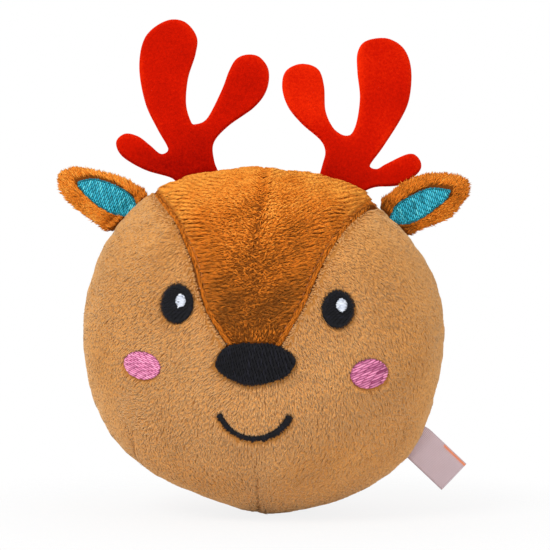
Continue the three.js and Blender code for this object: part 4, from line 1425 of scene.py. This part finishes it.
def forehead_tone(spots, ridged, crests, middle, squiggles, on_band, random):
    """Darkest by the nose and paler upwards, as painted light from above, with painted light and
    shade on the pile's ridges and painted shade in the top crease
    """
    x, z = spots[:, 0], spots[:, 2]
    pairs = spots[:, [0, 2]]
    high = smooth_step(-6, 60, z)
    # painted light from above: paler upwards, darkest by the nose
    tone = np.interp(z, (0, 15, 36, 60, 72), (0.1, 0.13, 0.32, 0.6, 0.68))
    tone += random.normal(0, 1, len(spots)) * (0.04 + 0.05 * middle)
    # painted light on the crests of the ridges and squiggles, painted shade between them
    tone += 0.12 * ridged * crests + (0.06 + 0.09 * middle) * squiggles
    tone += 0.05 * rolling(spots, 8, 43) + 0.04 * rolling(spots, 3.5, 44)
    # paler towards both edges and on the upper left, darker over the nose as painted shade where
    # the pile is brushed the other way
    tone += 0.07 * smooth_step(6, 26, np.abs(x + 2.5))
    tone += 0.05 * smooth_step(-20, -44, x) * high
    tone -= 0.14 * bell(x + 4, 14) * bell(z - 14, 9)
    # the top crease: painted shade along its upper part and a painted highlight on its right
    tone -= 0.15 * crease(pairs, TOP_CREASE, 1.1, 1) * smooth_step(26, 38, z)
    tone += 0.15 * crease(pairs - (3.2, 0), TOP_CREASE, 2.6, 1) * smooth_step(16, 26, z)
    # the band outside the topstitching is more even, paler upwards as painted light from above,
    # with painted shade in the seam and topstitching
    return tone + on_band * (0.44 + 0.12 * high - 0.4 * painted_groove_shade(pairs) - tone) * 0.85


def forehead_spots(points, triangles, random):
    """Where the forehead's tufts stand: not on stitches or in seams, and few between the ridges"""
    spots, normals = scatter(points, triangles, FOREHEAD_TUFTS_PER_MM2, random)
    spots = on_relief(unit(spots), front_relief)
    stitched = embroidered(spots[:, [0, 2]])
    forehead, way = edge_distance(spots[:, [0, 2]], FOREHEAD_OUTLINE)
    crests = forehead_crests(spots)
    ridged = forehead_ridged(spots, forehead)
    off_groove = (forehead > 0.3) & (np.abs(forehead - TOPSTITCH_INSET) > 0.22)
    thinned = random.random(len(spots)) < 0.9 * ridged * smooth_step(0.1, -0.7, crests)
    shown = (stitched < -0.2) & off_groove & ~thinned
    return picked(shown, spots, normals, stitched, forehead, way, crests, ridged)


def forehead_pile(points, triangles):
    random = np.random.default_rng(102)
    spots, normals, stitched, forehead, way, crests, ridged = forehead_spots(
        points, triangles, random
    )
    count = len(spots)
    on_band = (forehead < TOPSTITCH_INSET).astype(float)
    along_band = stacked(way[:, 1], -way[:, 0]) * np.sign(way[:, :1])
    leans = with_flat(nap_on_forehead(spots, ridged, random), along_band, on_band)
    leans += on_band[:, None] * random.normal(0, 0.03, (count, 3))
    middle = bell(from_crease(spots), 17) * smooth_step(64, 52, spots[:, 2]) * (1 - ridged)
    squiggles = streaks(spots, leans, 1.5, 1.2, 48) * (1 - ridged)
    length = random.uniform(2.4, 3.6, count) * (1 + 0.4 * ridged - 0.25 * middle)
    from_topstitch = np.maximum(forehead - TOPSTITCH_INSET, 0.3) / 0.8 + 0.1
    length = np.where(forehead > TOPSTITCH_INSET, np.minimum(length, from_topstitch), 3)
    length = clear_of_stitches(spots, leans, normals, length, stitched)
    width = random.uniform(0.58, 0.88, count) * (1 - 0.35 * on_band)
    rise = random.uniform(0.45, 0.7, count) * (1 + 0.5 * ridged * crests + 0.4 * squiggles)
    rise *= (1 - 0.65 * on_band) * (1 - 0.4 * bell(forehead - TOPSTITCH_INSET, 1.2))
    tone = forehead_tone(spots, ridged, crests, middle, squiggles, on_band, random)
    return spots, normals, leans, length, width, rise, tone, random


def back_pile(points, triangles, seed):
    random = np.random.default_rng(seed)
    spots, normals = scatter(points, triangles, BACK_TUFTS_PER_MM2, random)
    spots = on_relief(unit(spots), back_relief)
    count = len(spots)
    across = 0.5 * rolling(spots, 20, 33) + random.normal(0, 0.2, count)
    leans = stacked(across, np.zeros(count), -np.ones(count))
    leans += random.normal(0, 0.1, (count, 3))
    length = random.uniform(2.4, 3.8, count)
    width = random.uniform(0.7, 1.05, count)
    rise = random.uniform(0.55, 0.95, count)
    tone = 0.48 + random.normal(0, 0.1, count) + 0.06 * rolling(spots, 14, 45)
    # random tone, and painted shade along the back's seam
    tone += 0.05 * rolling(spots, 4, 46) - 0.25 * bell(spots[:, 0], 0.9)
    return spots, normals, leans, length, width, rise, tone, random


def add_pile(name, made, material, ride=None):
    """A pile's tufts, in more pieces than one where they are many, from one side to the other"""
    spots, normals, leans, length, width, rise, tone, random = made
    order = np.argsort(spots[:, 0], kind="stable")
    parts = np.array_split(order, math.ceil(len(order) / MOST_TUFTS))
    for number, part in enumerate(parts):
        points, triangles, tones = tufts(
            spots[part], normals[part], leans[part], length[part], width[part], rise[part],
            tone[part], random,
        )
        full_name = name if len(parts) == 1 else f"{name}_{number + 1}"
        cells = tuft_cells(len(part))
        piece = new_piece(full_name, points, triangles, material, tones, cells)
        if ride:
            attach(piece, ride)
        else:
            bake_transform(piece)


def make_ball():
    panels = cut_panels()
    for name, (points, triangles) in panels.items():
        panel_piece(name, points, triangles, TAN_CLOTH if name == "face_panel" else BROWN_CLOTH)
    add_pile("face_pile", face_pile(*panels["face_panel"]), TAN_PILE, "ball")
    brown_piles = {
        "forehead_pile": forehead_pile(*panels["forehead_panel"]),
        "back_pile_left": back_pile(*panels["back_panel_left"], seed=103),
        "back_pile_right": back_pile(*panels["back_panel_right"], seed=104),
    }
    for name, made in brown_piles.items():
        add_pile(name, made, BROWN_PILE, "ball")


# Embroidery on the face

def embroidery(name, node, meshes, material):
    points, triangles, tones = joined(meshes)
    piece = new_piece(name, points, triangles, material, tones)
    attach(piece, "ball")
    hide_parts(node)


def closed_path(outline):
    return np.vstack([outline, outline[:1]])


def shrunk(outline, distance):
    """A counterclockwise outline drawn in by a distance"""
    ahead = unit(np.roll(outline, -1, axis=0) - outline)
    behind = unit(outline - np.roll(outline, 1, axis=0))
    inward = unit(stacked(-ahead[:, 1] - behind[:, 1], ahead[:, 0] + behind[:, 0]))
    return outline + inward * distance


def counterclockwise(outline):
    x, z = outline.T
    area = (x * np.roll(z, -1) - np.roll(x, -1) * z).sum()
    return outline if area > 0 else outline[::-1]


def make_eye(side):
    random = np.random.default_rng(201 if side == "left" else 202)
    outline = OUTLINES[side + "_eye"]
    pad = backing(outline, on_face, low=-1.0, high=-0.15)
    fill = filled(shrunk(outline, 0.5), 12, pitch=0.42, stitch=2.6, ragged=0.1, random=random)
    rows = stitch_threads(fill, on_face, radius=0.25, lift=-0.1, arch=0.2, random=random)
    edge = across_edge(closed_path(outline), pitch=0.5, inward=1.3, outward=0.5, random=random)
    border = stitch_threads(edge, on_face, radius=0.24, lift=-0.2, arch=0.35, random=random)
    meshes = [pad, rows, border]
    embroidery(side + "_eye_stitches", side + "_eye", meshes, NIGHT_THREADS)
    shine = ellipse_outline(*HIGHLIGHTS[side])
    rows = filled(shine, 10, pitch=0.55, stitch=9, ragged=0.25, random=random)
    rows = np.vstack([rows, [HIGHLIGHT_TAILS[side]]])
    threads = stitch_threads(rows, on_face, radius=0.32, lift=0.22, arch=0.25, random=random)
    name = side + "_eye_highlight"
    embroidery(name + "_stitches", name, [threads], WHITE_THREADS)


def make_cheek(side, degrees, pitch, stitch):
    random = np.random.default_rng(203 if side == "left" else 204)
    outline = OUTLINES[side + "_cheek"]
    darker = 0.15 if side == "right" else 0
    pad = backing(outline, on_face, low=-1.0, high=-0.25, darker=0.1)
    fill = filled(outline, degrees, pitch, stitch, ragged=0.3, random=random)
    rows = stitch_threads(fill, on_face, 0.48 * pitch, -0.2, 0.22, random, darker)
    edge = across_edge(closed_path(outline), pitch=0.6, inward=0.35, outward=0.3, random=random)
    border = stitch_threads(edge, on_face, 0.24, -0.3, 0.2, random, darker=0.35)
    meshes = [pad, rows, border]
    embroidery(side + "_cheek_stitches", side + "_cheek", meshes, PINK_THREADS)


def make_nose():
    random = np.random.default_rng(205)
    outline = counterclockwise(OUTLINES["nose"])
    pad = backing(outline, on_face, low=-1.0, high=-0.15)
    fill = filled(outline, 84, pitch=0.44, stitch=3.4, ragged=0.7, random=random)
    rows = stitch_threads(fill, on_face, radius=0.26, lift=-0.1, arch=0.25, random=random)
    embroidery("nose_stitches", "nose_embroidery", [pad, rows], NIGHT_THREADS)


def make_mouth():
    random = np.random.default_rng(206)
    half = MOUTH_STROKE / 2
    stitches = across_edge(mouth_arc(60, 0), 0.42, half + 0.1, half + 0.15, random, ragged=0.4)
    threads = stitch_threads(stitches, on_face, radius=0.27, lift=-0.2, arch=0.4, random=random)
    outline = counterclockwise(OUTLINES["mouth"])
    pad = backing(outline, on_face, low=-1.0, high=-0.3, spacing=0.55)
    embroidery("mouth_stitches", "mouth_embroidery", [pad, threads], NIGHT_THREADS)


def make_embroidery():
    make_eye("left")
    make_eye("right")
    make_cheek("left", degrees=-24, pitch=0.72, stitch=3.2)
    make_cheek("right", degrees=22, pitch=0.85, stitch=5)
    make_nose()
    make_mouth()


# Threads of the seams

def along_path(path, length, gap):
    """Stitches one after another along a path"""
    runs = np.diff(path, axis=0)
    reached = np.concatenate([[0], np.cumsum(np.linalg.norm(runs, axis=1))])
    starts = np.arange(0, reached[-1] - length, length + gap)

    def at(distance):
        return stacked(*[np.interp(distance, reached, values) for values in path.T])

    return stacked(at(starts), at(starts + length))


def topstitches(side, edge, inward):
    random = np.random.default_rng(207 if side == "left" else 208)
    path = spline_through(edge, 12)
    ways = unit(np.gradient(path, axis=0))
    across = stacked(-ways[:, 1], ways[:, 0]) * inward
    path = path + across * TOPSTITCH_INSET
    stitches = along_path(path, TOPSTITCH_LENGTH - TOPSTITCH_GAP, TOPSTITCH_GAP)
    middles = stitches.mean(axis=1)
    directions = unit(stacked(middles[:, 0], np.zeros(len(middles)), middles[:, 1]))
    within = np.linalg.norm(middles, axis=1) < 0.93 * ball_radius(directions)
    shown = within & (middles[:, 1] > 3)
    threads = stitch_threads(stitches[shown], on_face, 0.17, -1.5, 0.3, random)
    name = "forehead_topstitch_" + side
    embroidery(name + "_stitches", name, [threads], BROWN_THREADS)


def on_back(pairs):
    """Points of the back at x and z, and the directions out of it"""
    front, _ = on_face(pairs)
    points = front * np.array([1, -1, 1])
    return points, ball_normals(points)


def closing_stitches():
    """The hand stitches that close the gap in the back's seam, from side to side over it"""
    random = np.random.default_rng(209)
    heights = np.arange(-25, 26, 3.0)
    aside, slant = np.full(len(heights), 1.9), 0.4
    near = stacked(-aside, heights - slant)
    far = stacked(aside, heights + slant)
    stitches = stacked(near, far) + random.normal(0, 0.12, (len(heights), 2, 2))
    threads = stitch_threads(stitches, on_back, radius=0.3, lift=-1.2, arch=0.9, random=random)
    embroidery("closing_stitches", "closing_stitch", [threads], BROWN_THREADS)


def make_threads():
    topstitches("left", FOREHEAD_LEFT_EDGE, 1)
    topstitches("right", FOREHEAD_RIGHT_EDGE, -1)
    closing_stitches()
    for name in ("rim_seam_thread", "back_seam_thread_upper", "back_seam_thread_lower"):
        dress(name, BROWN_THREADS)


def dress(name, material):
    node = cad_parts[name]
    node.data.materials.clear()
    node.data.materials.append(material)


# Antlers

def bend_at(seat):
    """Two points of a sewn-in piece, below and above its hinge line, in the frame"""
    hinge = seat.origin + seat.outward * seat.hinge
    ends = np.stack([hinge - seat.outward * BEND_BELOW, hinge + seat.outward * BEND_ABOVE])
    return [Vector(point) for point in to_frame(ends)]


def sewn_outline(seat, pairs, foot, wider=0):
    """The outline of a piece from its foot inside the seam, measured from the hinge line"""
    half = seat.width / 2
    ends = [(half, -2), (-half - wider, -2)]
    curve = spline_through([ends[0], *pairs, ends[1]], 8)
    inside = half - 1
    return counterclockwise(np.vstack([curve, [(-inside, -foot), (inside, -foot)]]))


def felt_half(flat, inside):
    """Half the felt's thickness: rounded at its cut edges, a little fuller away from them"""
    rounding = 1.7
    share = np.clip(inside / rounding, 0, 1)
    half = FELT_THICKNESS / 2 * np.sqrt(1 - (1 - share) ** 2)
    full = 0.35 * (1 - np.exp(-inside / 5)) + 0.1 * rolling(flat, 9, 61)
    half = half + full * smooth_step(0.5, 3, inside)
    return np.minimum(half, 1.15 + 0.9 * smooth_step(-2, 5, flat[:, 1]))


def felt_tone_and_painted_light(side, seat, flat, inside, way):
    """Painted light and shade: lighter along the cut edges, painted shade at the foot and on edges
    that face down
    """
    tone = 0.5 + 0.4 * np.exp(-inside / 1.1) + 0.05 * rolling(flat, 12, 64)
    tone -= 0.32 * smooth_step(26, 0, flat[:, 1])
    # the left antler a little darker, the right a little lighter on its left tine, with painted
    # shade in its middle
    if side == "left":
        tone -= 0.08
    else:
        tone += 0.08 + 0.1 * smooth_step(-10, -20, flat[:, 0]) * smooth_step(12, 24, flat[:, 1])
        tone -= 0.14 * bell(flat[:, 1] - 36, 14) * smooth_step(-12, 0, flat[:, 0])
    # painted shade on the cut edges that face down
    facing_down = -(way[:, 0] * seat.along[2] + way[:, 1] * seat.outward[2])
    return tone - 0.5 * smooth_step(0.9, 0.3, inside) * smooth_step(0.2, 0.8, facing_down)


def make_antler(side, pairs):
    name = side + "_antler"
    seat = SEATS[name]
    seen = [(along, out * ANTLER_HEIGHTS[side]) for along, out in seat.as_seen(pairs)]
    outline = sewn_outline(seat, seen, seat.hinge + TAB_DEPTH)
    flat, triangles, inside, way = flat_grid(outline, 0.8)
    half = felt_half(flat, inside)
    wave = 0.5 * rolling(flat, 40, 62 if side == "left" else 63) * smooth_step(8, 40, flat[:, 1])
    outer = seat.place(flat[:, 0], wave - half, flat[:, 1])
    inner = seat.place(flat[:, 0], wave + half, flat[:, 1])
    points, faces = closed_shell(outer, inner, turned_to(-BEHIND, outer, triangles))
    tone = felt_tone_and_painted_light(side, seat, flat, inside, way)
    piece = new_piece(name + "_felt", points, faces, FELT, np.tile(tone, 2))
    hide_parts(name, name + "_tab")
    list(bend_at(seat))
    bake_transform(piece)


# Ears

def ear_half(out):
    """Half an ear's thickness away from its edges: pinched where it goes into the seam"""
    return 0.7 + 1.5 * smooth_step(-2, 5, out)


def ear_leaf(seat, outline, front):
    """One leaf of an ear: the points of its shown and its inner side, and its triangles"""
    flat, triangles, inside, _ = flat_grid(shrunk(outline, 2.7), 0.8)
    fullness = (EAR_THICKNESS / 2 - 0.3) * (1 - np.exp(-inside / 3))
    half = 0.25 + np.minimum(fullness, ear_half(flat[:, 1]))
    side = -1 if front else 1
    outer = seat.place(flat[:, 0], side * half, flat[:, 1])
    inner = seat.place(flat[:, 0], np.full(len(flat), side * 0.12), flat[:, 1])
    return outer, inner, turned_to(side * BEHIND, outer, triangles)


def ear_pile(seat, outline, patch, front, seed):
    random = np.random.default_rng(seed)
    outer, _, triangles = ear_leaf(seat, outline, front)
    spots, normals = scatter(outer, triangles, EAR_TUFTS_PER_MM2, random)
    # where each spot lies in the ear's own plane
    offset = spots - seat.origin
    along = offset @ seat.along
    out = (offset @ seat.outward - seat.hinge) / math.cos(seat.lean)
    pairs = stacked(along, out)
    inside, _ = edge_distance(pairs, outline)
    in_patch, away = edge_distance(pairs, patch)
    away[in_patch < 0] *= -1
    shown = out > -3.2
    if front:
        shown &= in_patch < -0.3
    spots, normals, pairs, inside, in_patch, away = picked(
        shown, spots, normals, pairs, inside, in_patch, away
    )
    count = len(spots)
    at_rim = np.exp(-inside / 2.5)
    lean = 0.3 * away + np.array([0, 0.9]) + random.normal(0, 0.25, (count, 2))
    leans = seat.direction(lean[:, 0], np.zeros(count), lean[:, 1])
    length = np.minimum(random.uniform(2.4, 4, count), inside + random.uniform(-0.3, 0.1, count))
    tips = pairs + unit(lean) * (length + 0.2)[:, None]
    over_patch = edge_distance(tips, patch)[0] > -0.1
    length = np.where(over_patch, np.minimum(length, -in_patch), length)
    length = np.maximum(length, 0.6)
    width = random.uniform(0.5, 0.8, count)
    rise = random.uniform(0.6, 1.1, count) * (1 - 0.3 * at_rim)
    # random tone with painted light along the ear's rim, painted shade at its foot by the ball, and
    # the left ear, nearer the light, painted lighter
    tone = 0.36 + random.normal(0, 0.13, count) + 0.5 * at_rim + 0.06 * rolling(spots, 5, seed)
    tone -= 0.3 * smooth_step(4, -2, pairs[:, 1])
    if seat is SEATS["left_ear"]:
        tone += 0.15
    return spots, normals, leans, length, width, rise, tone, random


def make_ear(side, pairs, patch_pairs, rib_degrees):
    name = side + "_ear"
    seat = SEATS[name]
    outline = sewn_outline(seat, seat.from_hinge(pairs), seat.hinge + TAB_DEPTH - 1, 1.8)
    patch = counterclockwise(spline_through(seat.as_seen(patch_pairs), 5, closed=True))
    bend = ("ball", name, *bend_at(seat))
    for front in (True, False):
        outer, inner, triangles = ear_leaf(seat, outline, front)
        points, faces = closed_shell(outer, inner, triangles)
        where = "front" if front else "back"
        piece = new_piece(f"{name}_{where}_cloth", points, faces, BROWN_CLOTH)
        nodes = [name + "_" + where] + ([name + "_tab"] if front else [])
        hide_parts(*nodes)
        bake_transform(piece)
        seed = (301 if side == "left" else 303) + (0 if front else 1)
        made = ear_pile(seat, outline, patch, front, seed)
        add_pile(f"{name}_{where}_pile", made, EAR_PILE)
    make_patch(name, seat, patch, rib_degrees)


def make_patch(name, seat, patch, rib_degrees):
    random = np.random.default_rng(305 if name == "left_ear" else 306)

    def on_ear(flat):
        points = seat.place(flat[:, 0], -0.5 - ear_half(flat[:, 1]), flat[:, 1])
        zeros = np.zeros(len(flat))
        return points, unit(seat.direction(zeros, zeros - 1, zeros))

    pad = backing(patch, on_ear, low=-0.9, high=-0.1, darker=0.25)
    fill = filled(shrunk(patch, 0.3), rib_degrees, 0.82, stitch=3.1, ragged=0.1, random=random)
    rows = stitch_threads(fill, on_ear, radius=0.37, lift=-0.1, arch=0.22, random=random)
    edge = across_edge(closed_path(patch), pitch=0.5, inward=0.5, outward=0.3, random=random)
    border = stitch_threads(edge, on_ear, 0.3, 0.05, 0.25, random, darker=0.45)
    points, triangles, tones = joined([pad, rows, border])
    piece = new_piece(name + "_patch_stitches", points, triangles, TEAL_THREADS, tones)
    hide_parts(name + "_embroidery")
    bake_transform(piece)


# Ribbon loop

def ribbon_path(seat):
    """From foot to fold and back down: how far behind the seam and how far out the ribbon runs"""
    fold = LOOP_LENGTH - seat.hinge - LOOP_THICKNESS / 2
    middle = (LOOP_INSIDE + RIBBON_THICKNESS) / 2
    foot = -seat.hinge - TAB_DEPTH + 0.5
    rising = np.linspace(foot, fold, 30)
    turn = np.linspace(-math.pi / 2, math.pi / 2, 11)[1:-1]
    flat = np.full(len(rising), middle)
    depth = np.concatenate([-flat, middle * np.sin(turn), flat])
    out = np.concatenate([rising, fold + middle * np.cos(turn), rising[::-1]])
    # pinched where it leaves the seam, a little wavy further out
    depth *= 1 - 0.55 * smooth_step(3, -1, out)
    depth += 0.25 * np.sin(out / 5.5) * smooth_step(0, 6, out)
    return depth, out


def ribbon_side(seat, depth, out, widths, offset):
    """The points of one side of the ribbon, which leans over and curls at its edges"""
    ahead = unit(stacked(np.gradient(depth), np.gradient(out)))
    wide = np.tile(widths, len(out))
    behind = np.repeat(depth - offset * ahead[:, 1], len(widths))
    height = np.repeat(out + offset * ahead[:, 0], len(widths))
    curl = 0.25 * (wide / (RIBBON_WIDTH / 2)) ** 2 * smooth_step(4, 20, height)
    tilt = math.radians(LOOP_LEAN)
    leaning = smooth_step(-2.5, 1.5, height)
    along = wide * np.cos(tilt * leaning) + height * np.sin(tilt) * leaning + LOOP_ASIDE
    return seat.place(along, behind + curl, height - wide * np.sin(tilt * leaning))


def make_ribbon():
    seat = SEATS["ribbon_loop"]
    depth, out = ribbon_path(seat)
    widths = np.linspace(-RIBBON_WIDTH / 2, RIBBON_WIDTH / 2, RIBBON_CELLS + 1)
    half = RIBBON_THICKNESS / 2
    outer, inner = [ribbon_side(seat, depth, out, widths, offset) for offset in (half, -half)]
    points, faces = closed_shell(outer, inner, square_triangles(len(out) - 1, RIBBON_CELLS))
    first, second, third = points[faces].transpose(1, 0, 2)
    if (first * np.cross(second, third)).sum() < 0:
        faces = faces[:, ::-1]
    piece = new_piece("ribbon_loop_satin", points, faces, SATIN_WEAVE)
    travelled = np.concatenate([[0], np.cumsum(np.hypot(np.diff(depth), np.diff(out)))])
    rib = np.repeat(travelled * 2 * math.pi / RIB_PERIOD, len(widths))
    upper_edge = (widths > STRIPE_EDGES[0]) & (widths < STRIPE_EDGES[1])
    stripe = (upper_edge & (out > STRIPE_FROM)[:, None]).ravel()
    add_values(piece.data, "rib", np.tile(rib, 2))
    add_values(piece.data, "stripe", np.tile(stripe, 2))
    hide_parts("ribbon_loop", "ribbon_tab")
    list(bend_at(seat))
    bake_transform(piece)


# Inside the ball

def fluffed(node_name, name):
    """The stuffing as loose fibre in the room that its solid holds"""
    piece = linked(name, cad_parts[node_name].data.copy())
    remesh = piece.modifiers.new("even", "REMESH")
    remesh.mode = "VOXEL"
    remesh.voxel_size = FIBRE_CELL
    bpy.context.view_layer.update()
    mesh = modified_mesh(piece)
    piece.modifiers.clear()
    piece.data = mesh
    places = vertex_vectors(mesh, "co").astype(float)
    sunk = 0.0009 + 0.0006 * np.clip(rolling(places * 1000, 9, 71), -1, 1)
    places -= vertex_vectors(mesh, "normal") * sunk[:, None]
    mesh.vertices.foreach_set("co", places.astype(np.float32).ravel())
    mesh.polygons.foreach_set("use_smooth", np.ones(len(mesh.polygons), bool))
    mesh.materials.clear()
    mesh.materials.append(FIBRES)
    mesh.update()
    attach(piece, "ball")
    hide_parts(node_name)


def make_inside():
    fluffed("stuffing", "stuffing_fibre")
    fluffed("stuffing_plug", "stuffing_plug_fibre")
    for name in ("squeaker_shell", "squeaker_reed"):
        dress(name, SQUEAKER_PLASTIC)


# Camera, floor and light

def make_camera():
    data = bpy.data.cameras.new("camera")
    data.sensor_width = SENSOR_WIDTH
    data.lens = SENSOR_WIDTH * CAMERA_DISTANCE / FRAME_WIDTH
    camera = linked("camera", data)
    camera.location = (AIM_X / 1000, -CAMERA_DISTANCE / 1000, AIM_Z / 1000)
    camera.rotation_euler = (math.pi / 2, 0, 0)
    bpy.context.scene.camera = camera


def mixed_shaders(tree, share, first, second):
    node = add_node(tree, "ShaderNodeMixShader", {0: share, 1: first, 2: second})
    return node.outputs["Shader"]


def floor_material():
    """Pale, half lit up for the camera, and fading out into the white background"""
    material, tree, shader = new_material("pale_floor", roughness=0.9, specular=0.5)
    feed(tree, shader, {"Base Color": FLOOR_SHADE})
    seen = add_node(tree, "ShaderNodeLightPath").outputs["Is Camera Ray"]
    glow = add_node(tree, "ShaderNodeEmission").outputs["Emission"]
    glowing = math_node(tree, "MULTIPLY", seen, FLOOR_GLOW)
    lit = mixed_shaders(tree, glowing, shader.outputs["BSDF"], glow)
    place = add_node(tree, "ShaderNodeTexCoord").outputs["Object"]
    far = add_node(tree, "ShaderNodeVectorMath", {0: place}, operation="LENGTH").outputs["Value"]
    near_end, far_end = FLOOR_FADES
    inputs = {"Value": far, "From Min": near_end, "From Max": far_end}
    fade = add_node(tree, "ShaderNodeMapRange", inputs, interpolation_type="SMOOTHSTEP")
    clear = add_node(tree, "ShaderNodeBsdfTransparent").outputs["BSDF"]
    surface = mixed_shaders(tree, fade.outputs["Result"], lit, clear)
    feed(tree, tree.nodes["Material Output"], {"Surface": surface})
    return material


def make_floor():
    mesh = bpy.data.meshes.new("floor")
    corners = [(-1, -1, 0), (1, -1, 0), (1, 1, 0), (-1, 1, 0)]
    mesh.from_pydata(FLOOR_REACH * np.array(corners), [], [(0, 1, 2, 3)])
    floor = linked("floor", mesh)
    floor.location.z = -FLOOR_DROP
    mesh.materials.append(floor_material())


def make_world():
    """Even light from all round, and plain white for the camera and in reflections"""
    world = bpy.data.worlds.new("world")
    bpy.context.scene.world = world
    world.use_nodes = True
    tree = world.node_tree
    light = tree.nodes["Background"]
    feed(tree, light, {"Color": (1, 1, 1, 1), "Strength": WORLD_STRENGTH})
    white = add_node(tree, "ShaderNodeBackground", {"Color": (1, 1, 1, 1), "Strength": 1})
    ray = add_node(tree, "ShaderNodeLightPath")
    seen = ray.outputs["Is Camera Ray"]
    for kind in ("Is Glossy Ray", "Is Transmission Ray"):
        seen = math_node(tree, "MAXIMUM", seen, ray.outputs[kind])
    surface = mixed_shaders(tree, seen, light.outputs["Background"], white.outputs["Background"])
    feed(tree, tree.nodes["World Output"], {"Surface": surface})


def add_lamp(name, place, size, watts):
    data = bpy.data.lights.new(name, "AREA")
    data.shape = "DISK"
    data.size = size
    data.energy = watts
    lamp = linked(name, data)
    lamp.location = place
    aim = Vector(LAMPS_AIM) - Vector(place)
    lamp.rotation_euler = aim.to_track_quat("-Z", "Y").to_euler()


def make_light():
    make_world()
    for name, (place, size, watts) in LAMPS.items():
        add_lamp(name, place, size, watts)


bpy.context.scene.view_settings.view_transform = "Standard"
make_camera()
make_light()
make_floor()
make_ball()
make_embroidery()
make_threads()
make_antler("left", LEFT_ANTLER_OUTLINE)
make_antler("right", RIGHT_ANTLER_OUTLINE)
make_ear("left", LEFT_EAR_OUTLINE, LEFT_PATCH_OUTLINE, 25)
make_ear("right", RIGHT_EAR_OUTLINE, RIGHT_PATCH_OUTLINE, 155)
make_ribbon()
make_inside()
